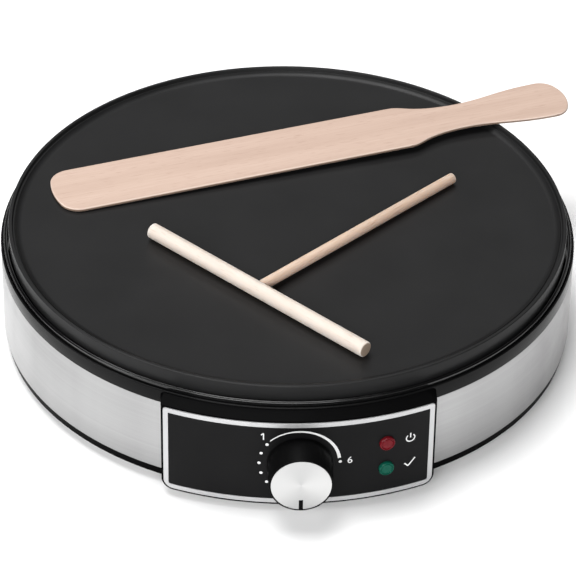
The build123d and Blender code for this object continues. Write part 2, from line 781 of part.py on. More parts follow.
with BuildPart() as panel_screws:
    for place in panel_screw_planes(wall_inner - seat_clearance):
        with Locations(Plane(origin=place.origin, z_dir=-place.z_dir)):
            add_screws(panel_skin - panel_wall - 0.5 - wall_inner)
panel_screws.part.label = "panel_screws"
export_step(panel_screws.part, "parts/panel_screws.step")

# ---------------------------------------------------------------- indicator lamps
flange_radius = lens_radius + 1.1
flange_thickness = 1.0
socket_depth = 12.0
lamp_radius = 2.4

lens_seat = panel_skin - panel_wall - 0.35
lens_labels = ("power_lens", "ready_lens")
for place, label in zip(lens_planes(lens_seat), lens_labels):
    with BuildPart() as lens:
        with Locations(place):
            Cylinder(flange_radius, flange_thickness, align=HANGING)
            Cylinder(lens_radius, panel_radius + lens_proud - lens_seat, align=STANDING)
        fillet(lens.edges().filter_by(GeomType.CIRCLE).sort_by(lambda e: -e.distance_to((0, 0, 30)))[0:1], 1.6)
        with Locations(place.offset(-flange_thickness)):
            Cylinder(lamp_radius + 0.5, 5, align=STANDING, mode=Mode.SUBTRACT)
    lens.part.label = label
    export_step(lens.part, f"parts/{label}.step")

with BuildPart() as lamp_sockets:
    for place in lens_planes(lens_seat - flange_thickness):
        with Locations(place):
            Cylinder(flange_radius - 0.4, socket_depth, align=HANGING)
            Cylinder(lamp_radius + thread_clearance, socket_depth - 2, align=HANGING, mode=Mode.SUBTRACT)
lamp_sockets.part.label = "lamp_sockets"
export_step(lamp_sockets.part, "parts/lamp_sockets.step")

with BuildPart() as neon_lamps:
    for place in lens_planes(lens_seat - flange_thickness - socket_depth + 2):
        with Locations(place):
            Cylinder(lamp_radius, socket_depth + 1, align=STANDING)
neon_lamps.part.label = "neon_lamps"
export_step(neon_lamps.part, "parts/neon_lamps.step")

# ---------------------------------------------------------------- thermostat
thermostat_width = 38.0
thermostat_height = 30.0
thermostat_depth = 26.0
bush_radius = 5.0
bush_length = 12.0
shaft_inset = 4.0
shaft_flat = 0.8
bracket_back = -bracket_face_y - bracket_sheet         # distance in front of the axis
hub_radius = 6.0
hub_length = 12.0

with BuildPart() as thermostat_bracket:
    with BuildSketch(Plane.XZ.offset(bracket_back)):
        with Locations((0, bracket_post_top)):
            Rectangle(56, knob_axis_height + 17 - bracket_post_top, align=(Align.CENTER, Align.MIN))
    extrude(amount=bracket_sheet)
    with Locations((0, bracket_face_y, bracket_post_top)):
        foot_depth = bracket_screw_y - bracket_face_y + 6
        Box(56, foot_depth, bracket_sheet, align=(Align.CENTER, Align.MIN, Align.MIN))
    with Locations(knob_plane.offset(bracket_back - 1)):
        Cylinder(bush_radius + seat_clearance, 4, align=STANDING, mode=Mode.SUBTRACT)
    with Locations(*[(side * bracket_screw_offset, bracket_screw_y, bracket_post_top) for side in (-1, 1)]):
        Cylinder(pilot_radius + 0.2, bracket_sheet, align=STANDING, mode=Mode.SUBTRACT)
thermostat_bracket.part.label = "thermostat_bracket"
export_step(thermostat_bracket.part, "parts/thermostat_bracket.step")

# short screws: two hold the bracket, one with a nut holds the earth lug under the pan
short_shank = 6.0
bracket_top = bracket_post_top + bracket_sheet
with BuildPart() as short_screws:
    with Locations(*[(side * bracket_screw_offset, bracket_screw_y, bracket_top) for side in (-1, 1)]):
        add_screws(short_shank)
    with Locations(Location((*earth_place, pan_floor_under - lug_sheet), (180, 0, 0))):
        add_screws(short_shank)
short_screws.part.label = "short_screws"
export_step(short_screws.part, "parts/short_screws.step")

with BuildPart() as thermostat_body:
    with BuildSketch(knob_plane.offset(bracket_back)):
        RectangleRounded(thermostat_width, thermostat_height, 3)
    extrude(amount=-thermostat_depth)
    with Locations(knob_plane.offset(bracket_back)):
        Cylinder(shaft_radius + 0.4, shaft_inset + 1, align=HANGING, mode=Mode.SUBTRACT)
thermostat_body.part.label = "thermostat_body"
export_step(thermostat_body.part, "parts/thermostat_body.step")

with BuildPart() as thermostat_bush:
    with Locations(knob_plane.offset(bracket_back)):
        Cylinder(bush_radius, bush_length, align=STANDING)
        Cylinder(shaft_radius + running_clearance, bush_length, align=STANDING, mode=Mode.SUBTRACT)
thermostat_bush.part.label = "thermostat_bush"
export_step(thermostat_bush.part, "parts/thermostat_bush.step")

nut_across = 14.0
nut_thickness = 3.0
with BuildPart() as thermostat_nut:
    with BuildSketch(knob_plane.offset(-bracket_face_y)):
        RegularPolygon(nut_across / 2, 6, major_radius=False)
        Circle(bush_radius + thread_clearance, mode=Mode.SUBTRACT)
    extrude(amount=nut_thickness)
thermostat_nut.part.label = "thermostat_nut"
export_step(thermostat_nut.part, "parts/thermostat_nut.step")

knob_back = panel_radius + knob_gap
shaft_front = knob_back + hub_length - 1.5
flat_start = knob_back + 0.5
with BuildPart() as thermostat_shaft:
    with Locations(knob_plane.offset(bracket_back - shaft_inset)):
        Cylinder(shaft_radius, shaft_front - bracket_back + shaft_inset, align=STANDING)
    with Locations(knob_plane.offset(flat_start)):
        with Locations((0, shaft_radius - shaft_flat, 0)):
            Box(2 * shaft_radius, 2 * shaft_radius, hub_length + 5,
                align=(Align.CENTER, Align.MIN, Align.MIN), mode=Mode.SUBTRACT)
thermostat_shaft.part.label = "thermostat_shaft"
export_step(thermostat_shaft.part, "parts/thermostat_shaft.step")

# ---------------------------------------------------------------- knob
knob_skin = 2.2
knob_draft = degrees(atan2(knob_base_radius - knob_face_radius, knob_length))
cap_seat = knob_back + knob_length - knob_cap_thickness
with BuildPart() as knob:
    with BuildSketch(knob_plane.offset(knob_back)):
        Circle(knob_base_radius)
    extrude(amount=knob_length, taper=knob_draft)
    fillet(knob.edges().filter_by(GeomType.CIRCLE).sort_by(Axis.Y)[0], knob_edge_round)
    with Locations(knob_plane.offset(knob_back)):
        Cylinder(knob_base_radius - knob_skin, knob_length - 4, align=STANDING, mode=Mode.SUBTRACT)
        Cylinder(hub_radius, knob_length - 2, align=STANDING)
        Cylinder(shaft_radius + seat_clearance, hub_length, align=STANDING, mode=Mode.SUBTRACT)
    with Locations(knob_plane.offset(cap_seat)):
        Cylinder(knob_cap_radius + thread_clearance, 3, align=STANDING, mode=Mode.SUBTRACT)
    with Locations(knob_plane.offset(flat_start + seat_clearance)):
        with Locations((0, shaft_radius - shaft_flat + seat_clearance, 0)):
            Box(2 * shaft_radius, 2, hub_length - 1, align=(Align.CENTER, Align.MIN, Align.MIN))
knob.part.label = "knob"
export_step(knob.part, "parts/knob.step")

pointer_clearance = 0.05
with BuildPart() as knob_cap:
    with Locations(knob_plane.offset(cap_seat)):
        Cylinder(knob_cap_radius, knob_cap_thickness, align=STANDING)
        with Locations((0, -knob_cap_radius, 0)):
            Box(pointer_width + 2 * pointer_clearance, 2 * pointer_length, 2 * knob_cap_thickness,
                align=CENTRE, mode=Mode.SUBTRACT)
knob_cap.part.label = "knob_cap"
export_step(knob_cap.part, "parts/knob_cap.step")

with BuildPart() as knob_pointer:
    with Locations(knob_plane.offset(cap_seat)):
        with Locations((0, pointer_clearance - knob_cap_radius, 0)):
            Box(pointer_width, pointer_length - 2 * pointer_clearance, knob_cap_thickness,
                align=(Align.CENTER, Align.MIN, Align.MIN))
knob_pointer.part.label = "knob_pointer"
export_step(knob_pointer.part, "parts/knob_pointer.step")

clip_sheet = 0.5
with BuildPart() as knob_clip:
    with Locations(knob_plane.offset(knob_back + 1)):
        Cylinder(hub_radius + thread_clearance + clip_sheet, 6, align=STANDING)
        Cylinder(hub_radius + thread_clearance, 6, align=STANDING, mode=Mode.SUBTRACT)
        with Locations((0, -hub_radius, 0)):
            Box(3, 4, 6, align=STANDING, mode=Mode.SUBTRACT)
knob_clip.part.label = "knob_clip"
export_step(knob_clip.part, "parts/knob_clip.step")

# ---------------------------------------------------------------- feet
foot_barb_radius = foot_stem_radius + 1.2
with BuildPart() as feet:
    with PolarLocations(foot_circle_radius, foot_count, corner_angle):
        Cylinder(foot_radius, foot_height, align=STANDING)
    chamfer(feet.edges().filter_by(GeomType.CIRCLE).group_by(Axis.Z)[0], 0.4)
    with Locations((0, 0, foot_height)):
        with PolarLocations(foot_circle_radius, foot_count, corner_angle):
            Cylinder(foot_stem_radius, shell_floor, align=STANDING)
    with Locations((0, 0, floor_top)):
        with PolarLocations(foot_circle_radius, foot_count, corner_angle):
            Cone(foot_barb_radius, foot_stem_radius - 0.6, 3.0, align=STANDING)
feet.part.label = "feet"
export_step(feet.part, "parts/feet.step")

# ---------------------------------------------------------------- mains entry
gland_bore = cord_radius + gland_bore_clearance
gland_flange_radius = 9.5
gland_flange_thickness = 3.0
gland_body_radius = 7.0
with BuildPart() as cord_gland:
    with Locations(radial_plane(90, body_radius + seat_clearance, gland_height)):
        Cylinder(gland_flange_radius, gland_flange_thickness, align=STANDING)
        Cylinder(gland_body_radius, seat_clearance + body_radius - wall_inner + 5, align=HANGING)
        with Locations((0, 0, gland_flange_thickness)):
            Cylinder(gland_bore, 40, align=CENTRE, mode=Mode.SUBTRACT)
    chamfer(cord_gland.edges().filter_by(GeomType.CIRCLE).sort_by(Axis.Y)[-2:], 0.5)
cord_gland.part.label = "cord_gland"
export_step(cord_gland.part, "parts/cord_gland.step")

clamp_bar_height = 6.0
with BuildPart() as cord_clamp:
    with Locations((0, clamp_y, clamp_post_top)):
        Box(2 * clamp_screw_offset + 7, 7, clamp_bar_height, align=STANDING)
    with Locations(Location((0, clamp_y, gland_height), (90, 0, 0))):
        Cylinder(gland_bore, 9, mode=Mode.SUBTRACT)
    with Locations(*[(side * clamp_screw_offset, clamp_y, clamp_post_top) for side in (-1, 1)]):
        Cylinder(pilot_radius + 0.2, clamp_bar_height, align=STANDING, mode=Mode.SUBTRACT)
cord_clamp.part.label = "cord_clamp"
export_step(cord_clamp.part, "parts/cord_clamp.step")

# ---------------------------------------------------------------- terminal block
block_ways = 3
way_pitch = block_length / block_ways
block_top = block_post_top + block_height
way_places = [(block_centre[0] + (n - 1) * way_pitch, block_centre[1]) for n in range(block_ways)]
terminal_inset = 3.0
terminal_radius = 1.6
terminal_reach = block_width / 2 - terminal_inset
terminal_points = [(x, y + reach) for x, y in way_places for reach in (-terminal_reach, terminal_reach)]
block_head_depth = screw_head_height + 0.4
with BuildPart() as terminal_block:
    with Locations((*block_centre, block_post_top)):
        Box(block_length, block_width, block_height, align=STANDING)
        Cylinder(pilot_radius + 0.2, block_height, align=STANDING, mode=Mode.SUBTRACT)
        with Locations((0, 0, block_height)):
            Cylinder(screw_head_radius + head_clearance, block_head_depth, align=HANGING, mode=Mode.SUBTRACT)
    with Locations(*[(x, y, block_top) for x, y in terminal_points]):
        Cylinder(terminal_radius + seat_clearance, 2.0, align=HANGING, mode=Mode.SUBTRACT)
terminal_block.part.label = "terminal_block"
export_step(terminal_block.part, "parts/terminal_block.step")

with BuildPart() as terminal_screws:
    with Locations(*[(x, y, block_top - 0.2) for x, y in terminal_points]):
        Cylinder(terminal_radius, 1.8, align=HANGING)
        Box(2 * terminal_radius, 0.6, 1.0, align=CENTRE, mode=Mode.SUBTRACT)
terminal_screws.part.label = "terminal_screws"
export_step(terminal_screws.part, "parts/terminal_screws.step")

# long screws: one holds the terminal block, two the cord clamp
long_shank = 16.0
clamp_top = clamp_post_top + clamp_bar_height
with BuildPart() as long_screws:
    with Locations((*block_centre, block_top - block_head_depth)):
        add_screws(long_shank)
    with Locations(*[(side * clamp_screw_offset, clamp_y, clamp_top) for side in (-1, 1)]):
        add_screws(long_shank)
long_screws.part.label = "long_screws"
export_step(long_screws.part, "parts/long_screws.step")

# ---------------------------------------------------------------- temperature sensor
with BuildPart() as sensor_bulb:
    with Locations(Location((0, 0, bulb_height), (0, 90, 0))):
        Cylinder(bulb_radius, bulb_length)
    fillet(sensor_bulb.edges().filter_by(GeomType.CIRCLE), 1.2)
sensor_bulb.part.label = "sensor_bulb"
export_step(sensor_bulb.part, "parts/sensor_bulb.step")

clip_sheet_thickness = 0.8
clip_drop = bulb_radius + thread_clearance
with BuildPart() as bulb_clip:
    with BuildSketch(Plane.YZ.offset(-5)):
        with Locations((0, clip_seat)):
            Circle(clip_drop + clip_sheet_thickness)
            Rectangle(2 * clip_reach + 7, clip_sheet_thickness, align=(Align.CENTER, Align.MAX))
            Circle(clip_drop, mode=Mode.SUBTRACT)
            Rectangle(40, 20, align=(Align.CENTER, Align.MIN), mode=Mode.SUBTRACT)
    extrude(amount=10)
    with Locations(*clip_screw_points(clip_seat)):
        Cylinder(screw_radius + 0.2, 4, align=CENTRE, mode=Mode.SUBTRACT)
bulb_clip.part.label = "bulb_clip"
export_step(bulb_clip.part, "parts/bulb_clip.step")

with BuildPart() as clip_screws:
    for point in clip_screw_points(clip_seat - clip_sheet_thickness):
        with Locations(Location(point, (180, 0, 0))):
            add_screws(3.2, head_height=1.8)
clip_screws.part.label = "clip_screws"
export_step(clip_screws.part, "parts/clip_screws.step")

grommet_flange = grommet_radius + 1.6
capillary_radius = 0.8
with BuildPart() as pan_grommet:
    with Locations((*capillary_hole, pan_floor_under - 1.2)):
        Cylinder(grommet_flange, pan_sheet + 2.4, align=STANDING)
    with Locations((*capillary_hole, pan_floor_under)):
        Cylinder(grommet_flange + 1, pan_sheet, align=STANDING, mode=Mode.SUBTRACT)
        Cylinder(grommet_radius - thread_clearance, pan_sheet, align=STANDING)
    with Locations((*capillary_hole, pan_floor_under)):
        Cylinder(capillary_radius + 0.2, 20, align=CENTRE, mode=Mode.SUBTRACT)
pan_grommet.part.label = "pan_grommet"
export_step(pan_grommet.part, "parts/pan_grommet.step")

thermostat_back = thermostat_depth - bracket_back
capillary_points = [
    (-bulb_length / 2, 0, bulb_height),
    (-bulb_length / 2 - 10, 0, bulb_height),
    (capillary_hole[0] - 14, capillary_hole[1] + 24, 60.0),
    (capillary_hole[0] - 4.5, capillary_hole[1] + 9, 58.5),
    (*capillary_hole, 58.0),
    (*capillary_hole, 38.0),
    (capillary_hole[0] + 4, -70.0, knob_axis_height),
    (-10.0, thermostat_back + 22.5, knob_axis_height - 2.0),
    (-10.0, thermostat_back, knob_axis_height - 2.0),
]
sensor_capillary = lead(capillary_points, capillary_radius)
sensor_capillary.label = "sensor_capillary"
export_step(sensor_capillary, "parts/sensor_capillary.step")

# ---------------------------------------------------------------- thermal fuse under the pan
fuse_radius = 2.0
fuse_length = 11.0
fuse_height = pan_floor_under - fuse_radius - 0.3
with BuildPart() as thermal_fuse:
    with Locations(Location((*fuse_place, fuse_height), (90, 0, 0))):
        Cylinder(fuse_radius, fuse_length)
    fillet(thermal_fuse.edges().filter_by(GeomType.CIRCLE), 0.6)
thermal_fuse.part.label = "thermal_fuse"
export_step(thermal_fuse.part, "parts/thermal_fuse.step")

fuse_strap_sheet = 0.6
with BuildPart() as fuse_strap:
    strap_inside = fuse_radius + thread_clearance
    with BuildSketch(Plane.XZ.offset(-fuse_place[1] - 2.5)):
        with Locations((fuse_place[0], fuse_height)):
            Circle(strap_inside + fuse_strap_sheet)
            Rectangle(2 * (strap_inside + fuse_strap_sheet), pan_floor_under - fuse_height,
                      align=(Align.CENTER, Align.MIN))
        with Locations((fuse_place[0], pan_floor_under)):
            Rectangle(2 * fuse_strap_reach + 6, fuse_strap_sheet, align=(Align.CENTER, Align.MAX))
        with Locations((fuse_place[0], fuse_height)):
            Circle(strap_inside, mode=Mode.SUBTRACT)
            Rectangle(2 * strap_inside, 10, align=(Align.CENTER, Align.MIN), mode=Mode.SUBTRACT)
    extrude(amount=5)
    with Locations(*rivet_points(pan_floor_under)):
        Cylinder(rivet_radius + thread_clearance, 4, align=CENTRE, mode=Mode.SUBTRACT)
fuse_strap.part.label = "fuse_strap"
export_step(fuse_strap.part, "parts/fuse_strap.step")

rivet_head_radius = 2.2
with BuildPart() as fuse_rivets:
    with Locations(*rivet_points(pan_floor_under - fuse_strap_sheet)):
        Cylinder(rivet_head_radius, 0.9, align=HANGING)
        Cylinder(rivet_radius, fuse_strap_sheet + pan_sheet, align=STANDING)
    with Locations(*rivet_points(pan_floor_top)):
        Cylinder(rivet_head_radius - 0.3, 0.8, align=STANDING)
fuse_rivets.part.label = "fuse_rivets"
export_step(fuse_rivets.part, "parts/fuse_rivets.step")

# ---------------------------------------------------------------- earth point on the pan
with BuildPart() as earth_lug:
    with BuildSketch(Plane.XY.offset(pan_floor_under - lug_sheet)):
        with Locations(earth_place):
            Circle(4.2)
            Rectangle(4.4, 11, align=(Align.CENTER, Align.MIN))
            Circle(pilot_radius + 0.1, mode=Mode.SUBTRACT)
    extrude(amount=lug_sheet)
earth_lug.part.label = "earth_lug"
export_step(earth_lug.part, "parts/earth_lug.step")

with BuildPart() as earth_nut:
    with BuildSketch(Plane.XY.offset(pan_floor_top)):
        with Locations(earth_place):
            RegularPolygon(3.6, 6, major_radius=False)
            Circle(pilot_radius, mode=Mode.SUBTRACT)
    extrude(amount=2.6)
earth_nut.part.label = "earth_nut"
export_step(earth_nut.part, "parts/earth_nut.step")

# ---------------------------------------------------------------- internal leads
connector_width = 6.4
connector_depth = 5.0
connector_height = 8.0
connector_bottom = pin_bottom - 1.0
with BuildPart() as pin_connectors:
    for angle in element_tail_angles:
        with Locations(tail_point(angle, connector_bottom)):
            Box(connector_width, connector_depth, connector_height, align=STANDING)
        with Locations(tail_point(angle, pin_bottom)):
            Cylinder(pin_radius + thread_clearance, connector_height, align=STANDING, mode=Mode.SUBTRACT)
pin_connectors.part.label = "pin_connectors"
export_step(pin_connectors.part, "parts/pin_connectors.step")

lead_radius = 1.2
lead_tail = 14.0               # straight end of a lead, square to what it enters
lead_level = floor_top + 5.5   # leads that lie low in the base
lead_height = knob_axis_height - 7.0
block_front = block_centre[1] - block_width / 2
live_x, neutral_x, earth_x = [x for x, _ in way_places]
way_height = block_post_top + 6.0
lamp_way_height = way_height + 3.0
connector_front = tail_point(element_tail_angles[0], 0).Y - connector_depth / 2
connector_middle = connector_bottom + connector_height / 2
right_pin = tail_point(element_tail_angles[0], 0).X
left_pin = tail_point(element_tail_angles[1], 0).X
socket_back = lens_seat - flange_thickness - socket_depth
fuse_front = fuse_place[1] - fuse_length / 2
fuse_rear = fuse_place[1] + fuse_length / 2


def behind_lamp(distance, height):
    """Point on a lamp's axis at a distance behind its socket."""
    return tuple(radial_plane(lens_angle, socket_back - distance, height).origin)


live_lead = lead(
    [
        (live_x, block_front, way_height),
        (live_x, block_front - lead_tail, way_height),
        (45.0, block_front - 59.0, lead_level),
        (46.0, -20.0, lead_level),
        (34.0, thermostat_back + 52.0, lead_level + 3.0),
        (12.0, thermostat_back + 22.0, lead_height),
        (12.0, thermostat_back, lead_height),
    ],
    lead_radius,
)
live_lead.label = "live_lead"
export_step(live_lead, "parts/live_lead.step")

switched_lead = lead(
    [
        (-12.0, thermostat_back, lead_height),
        (-12.0, thermostat_back + 22.0, lead_height),
        (-44.0, thermostat_back + 46.0, lead_height + 3.0),
        (-54.0, -32.0, lead_height + 11.0),
        (fuse_place[0], fuse_front - lead_tail, fuse_height),
        (fuse_place[0], fuse_front, fuse_height),
    ],
    lead_radius,
)
switched_lead.label = "switched_lead"
export_step(switched_lead, "parts/switched_lead.step")

heater_lead = lead(
    [
        (fuse_place[0], fuse_rear, fuse_height),
        (fuse_place[0], fuse_rear + lead_tail, fuse_height),
        (-28.0, connector_front - 23.0, connector_middle + 5.0),
        (left_pin, connector_front - lead_tail, connector_middle),
        (left_pin, connector_front, connector_middle),
    ],
    lead_radius,
)
heater_lead.label = "heater_lead"
export_step(heater_lead, "parts/heater_lead.step")

neutral_lead = lead(
    [
        (neutral_x - 2.0, block_front, way_height),
        (neutral_x - 2.0, block_front - 9.0, way_height),
        (30.0, connector_front - 17.0, connector_middle - 7.0),
        (right_pin, connector_front - lead_tail, connector_middle),
        (right_pin, connector_front, connector_middle),
    ],
    lead_radius,
)
neutral_lead.label = "neutral_lead"
export_step(neutral_lead, "parts/neutral_lead.step")

power_lamp_lead = lead(
    [
        behind_lamp(0, power_lens_height),
        behind_lamp(lead_tail, power_lens_height),
        (52.0, thermostat_back + 24.0, lead_height),
        (66.0, -50.0, lead_level + 1.0),
        (68.0, 10.0, lead_level),
        (60.0, block_front - 41.0, lead_level + 2.0),
        (neutral_x + 2.0, block_front - 12.0, lamp_way_height),
        (neutral_x + 2.0, block_front, lamp_way_height),
    ],
    lead_radius,
)
power_lamp_lead.label = "power_lamp_lead"
export_step(power_lamp_lead, "parts/power_lamp_lead.step")

ready_lamp_lead = lead(
    [
        behind_lamp(0, ready_lens_height),
        behind_lamp(lead_tail, ready_lens_height),
        (28.0, thermostat_back + 18.0, knob_axis_height),
        (9.0, thermostat_back + lead_tail, 40.0),
        (9.0, thermostat_back, 40.0),
    ],
    lead_radius,
)
ready_lamp_lead.label = "ready_lamp_lead"
export_step(ready_lamp_lead, "parts/ready_lamp_lead.step")

lug_tail = 11.0
earth_height = pan_floor_under - lug_sheet - lead_radius
earth_lead = lead(
    [
        (earth_x, block_front, way_height),
        (earth_x, block_front - lead_tail, way_height),
        (earth_place[0] + 3.0, block_front - 37.0, 38.0),
        (earth_place[0], earth_place[1] + lug_tail + 12, earth_height),
        (earth_place[0], earth_place[1] + lug_tail - 2, earth_height),
    ],
    lead_radius,
)
earth_lead.label = "earth_lead"
export_step(earth_lead, "parts/earth_lead.step")

# ---------------------------------------------------------------- wooden spatula
# It lies with its blade on the cooking surface and its neck over the rim, so it is tilted a little.
spatula_x = Vector(cos(radians(spatula_bearing)), sin(radians(spatula_bearing)), 0)
spatula_side = Vector(-spatula_x.Y, spatula_x.X, 0)
spatula_edge = Vector(*spatula_tip, 0) + spatula_side * spatula_neck_half
edge_along = spatula_edge.dot(spatula_x)
rim_crossing = -edge_along + sqrt(
    edge_along**2 + (plate_crest_radius - 0.5) ** 2 - spatula_edge.dot(spatula_edge)
)
spatula_rise = (plate_rim_height + tool_clearance) / rim_crossing
spatula_plane = Plane(
    origin=(*spatula_tip, plate_top + tool_clearance / 2),
    x_dir=spatula_x + Vector(0, 0, spatula_rise),
    z_dir=(Vector(0, 0, 1) - spatula_x * spatula_rise),
)
blade_reach = end_reach(spatula_blade_half, spatula_blade_arc, spatula_blade_corner)
grip_reach = end_reach(spatula_grip_half, spatula_grip_arc, spatula_grip_corner)
with BuildPart() as spatula:
    with BuildSketch(spatula_plane):
        with BuildLine():
            rounded_end(0, 1, spatula_blade_half, spatula_blade_arc, spatula_blade_corner)
            for side in (1, -1):
                blade_edge = Line((blade_reach, side * spatula_blade_half),
                                  (spatula_shoulder, side * spatula_blade_half))
                Spline(
                    blade_edge @ 1,
                    (spatula_fall, side * spatula_fall_half),
                    (spatula_neck, side * spatula_neck_half),
                    (spatula_length - grip_reach, side * spatula_grip_half),
                    tangents=((1, 0), (1, 0)),
                )
            rounded_end(spatula_length, -1, spatula_grip_half, spatula_grip_arc, spatula_grip_corner)
        make_face()
    extrude(amount=spatula_thickness)
    chamfer(spatula.faces().sort_by(Axis.Z)[-1].edges(), spatula_edge_break)
spatula.part.label = "spatula"
export_step(spatula.part, "parts/spatula.step")

# ---------------------------------------------------------------- batter spreader
bar_x = Vector(cos(radians(bar_bearing)), sin(radians(bar_bearing)), 0)
bar_height = plate_top + bar_radius + tool_clearance
bar_centre = Vector(*bar_middle, bar_height)
handle_out = Vector(cos(radians(handle_bearing)), sin(radians(handle_bearing)), 0)
handle_drop = (bar_radius - handle_radius) / (handle_length + bar_radius)
handle_dir = (handle_out - Vector(0, 0, handle_drop)).normalized()
handle_start = bar_centre + handle_dir * (bar_radius - handle_socket)
with BuildPart() as spreader_bar:
    with Locations(Plane(origin=bar_centre, z_dir=bar_x)):
        Cylinder(bar_radius, bar_length)
    chamfer(spreader_bar.edges().filter_by(GeomType.CIRCLE), 0.5)
    with Locations(Plane(origin=handle_start, z_dir=handle_dir)):
        Cylinder(handle_radius + thread_clearance, 2 * bar_radius, align=STANDING, mode=Mode.SUBTRACT)
spreader_bar.part.label = "spreader_bar"
export_step(spreader_bar.part, "parts/spreader_bar.step")

with BuildPart() as spreader_handle:
    with Locations(Plane(origin=handle_start, z_dir=handle_dir)):
        Cylinder(handle_radius, handle_length + handle_socket, align=STANDING)
    chamfer(spreader_handle.edges().filter_by(GeomType.CIRCLE), 0.5)
spreader_handle.part.label = "spreader_handle"
export_step(spreader_handle.part, "parts/spreader_handle.step")
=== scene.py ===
import json
from math import cos, pi, radians, sin, sqrt, tau

import bmesh
import bpy
from mathutils import Matrix, Vector

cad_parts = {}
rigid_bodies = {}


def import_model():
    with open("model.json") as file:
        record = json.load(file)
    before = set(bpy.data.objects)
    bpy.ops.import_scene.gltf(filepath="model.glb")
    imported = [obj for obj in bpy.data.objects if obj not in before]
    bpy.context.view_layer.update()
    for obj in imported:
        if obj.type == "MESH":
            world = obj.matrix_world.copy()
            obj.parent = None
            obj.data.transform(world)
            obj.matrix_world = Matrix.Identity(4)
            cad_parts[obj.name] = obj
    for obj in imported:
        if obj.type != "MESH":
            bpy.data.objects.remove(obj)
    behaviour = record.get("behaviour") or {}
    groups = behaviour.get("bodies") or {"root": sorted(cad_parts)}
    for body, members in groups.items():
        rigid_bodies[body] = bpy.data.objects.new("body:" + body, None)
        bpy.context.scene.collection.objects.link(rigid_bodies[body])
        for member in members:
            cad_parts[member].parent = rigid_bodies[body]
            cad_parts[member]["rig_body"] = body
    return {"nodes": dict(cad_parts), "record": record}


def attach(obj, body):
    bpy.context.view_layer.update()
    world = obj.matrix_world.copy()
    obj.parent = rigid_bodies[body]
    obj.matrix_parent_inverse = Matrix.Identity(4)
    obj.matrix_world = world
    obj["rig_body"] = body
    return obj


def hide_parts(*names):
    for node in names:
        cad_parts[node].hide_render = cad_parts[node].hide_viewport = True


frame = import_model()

MM = 0.001
TURNED_STEPS = 288

# where the knob and the wooden tools are, in millimetres, with the tools' bearings from +X in degrees
KNOB_HEIGHT = 32.0
SPATULA_TIP, SPATULA_BEARING = (-131.0, 25.9, 70.2), 16.6
SPREADER_MIDDLE, BAR_BEARING, HANDLE_BEARING = (-19.8, -70.8, 74.7), -45.0, 42.6

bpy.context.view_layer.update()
scene = bpy.context.scene


# ---------------------------------------------------------------- shader building blocks
def add_node(tree, kind, inputs=None, **settings):
    """Adds a node; an input given as a socket is linked, and any other value is typed into it."""
    node = tree.nodes.new(kind)
    for name, value in settings.items():
        setattr(node, name, value)
    for key, value in (inputs or {}).items():
        if isinstance(value, bpy.types.NodeSocket):
            tree.links.new(value, node.inputs[key])
        else:
            node.inputs[key].default_value = value
    return node


def new_group(name, inputs, outputs):
    """An empty effect with named sockets."""
    group = bpy.data.node_groups.new(name, "ShaderNodeTree")
    for label, kind, value in inputs:
        socket = group.interface.new_socket(label, in_out="INPUT", socket_type=kind)
        if value is not None:
            socket.default_value = value
    for label in outputs:
        group.interface.new_socket(label, in_out="OUTPUT", socket_type="NodeSocketFloat")
    return group, group.nodes.new("NodeGroupInput").outputs, group.nodes.new("NodeGroupOutput").inputs


def noise(tree, place, scale, detail=2.0, roughness=0.5):
    """Cloudy value between 0 and 1."""
    return add_node(tree, "ShaderNodeTexNoise", {"Vector": place, "Scale": scale, "Detail": detail,
                                                 "Roughness": roughness}).outputs["Fac"]


def stretch(tree, place, scale=(1, 1, 1), location=(0, 0, 0), rotation=(0, 0, 0)):
    """Places a pattern on a piece; the rotation is in degrees."""
    return add_node(tree, "ShaderNodeMapping", {"Vector": place, "Scale": scale, "Location": location,
                                                "Rotation": [radians(angle) for angle in rotation]}).outputs["Vector"]


def between(tree, value, low, high, start=0.3, end=0.7):
    """Carries the middle of a cloudy value over to a range of its own."""
    return add_node(tree, "ShaderNodeMapRange", {"Value": value, "From Min": start, "From Max": end,
                                                 "To Min": low, "To Max": high}).outputs["Result"]


def calculate(tree, operation, first, second=0.5):
    return add_node(tree, "ShaderNodeMath", {0: first, 1: second}, operation=operation).outputs["Value"]


def share(tree, part, first, second):
    """Adds two values up, with the stated part of the first and the rest of the second."""
    return calculate(tree, "ADD", calculate(tree, "MULTIPLY", first, part),
                     calculate(tree, "MULTIPLY", second, 1 - part))


def blend_colours(tree, value, *colours):
    """Colour ramp with evenly spaced colours."""
    ramp = add_node(tree, "ShaderNodeValToRGB", {"Fac": value})
    elements = ramp.color_ramp.elements
    while len(elements) < len(colours):
        elements.new(0.5)
    for number, colour in enumerate(colours):
        elements[number].position = number / (len(colours) - 1)
        elements[number].color = (*colour, 1)
    return ramp.outputs["Color"]


def make_moulding_grain():
    """Fine spark-eroded grain of a moulding, with slow changes of tone."""
    tree, given, made = new_group("Moulding grain", [("Place", "NodeSocketVector", None),
                                                     ("Grain Scale", "NodeSocketFloat", 1500.0)], ["Height", "Tone"])
    fine = noise(tree, given["Place"], given["Grain Scale"], 2.0, 0.6)
    slow = noise(tree, given["Place"], 26.0, 3.0)
    tree.links.new(fine, made["Height"])
    tree.links.new(share(tree, 0.75, slow, fine), made["Tone"])
    return tree


def make_brushing():
    """Hairline brushing along the short axis of the stretched place."""
    tree, given, made = new_group("Brushing", [("Stretched Place", "NodeSocketVector", None)], ["Height", "Streak"])
    hairline = noise(tree, given["Stretched Place"], 1.0, 5.0, 0.65)
    wide = noise(tree, given["Stretched Place"], 0.17, 2.0)
    tree.links.new(hairline, made["Height"])
    tree.links.new(share(tree, 0.6, hairline, wide), made["Streak"])
    return tree


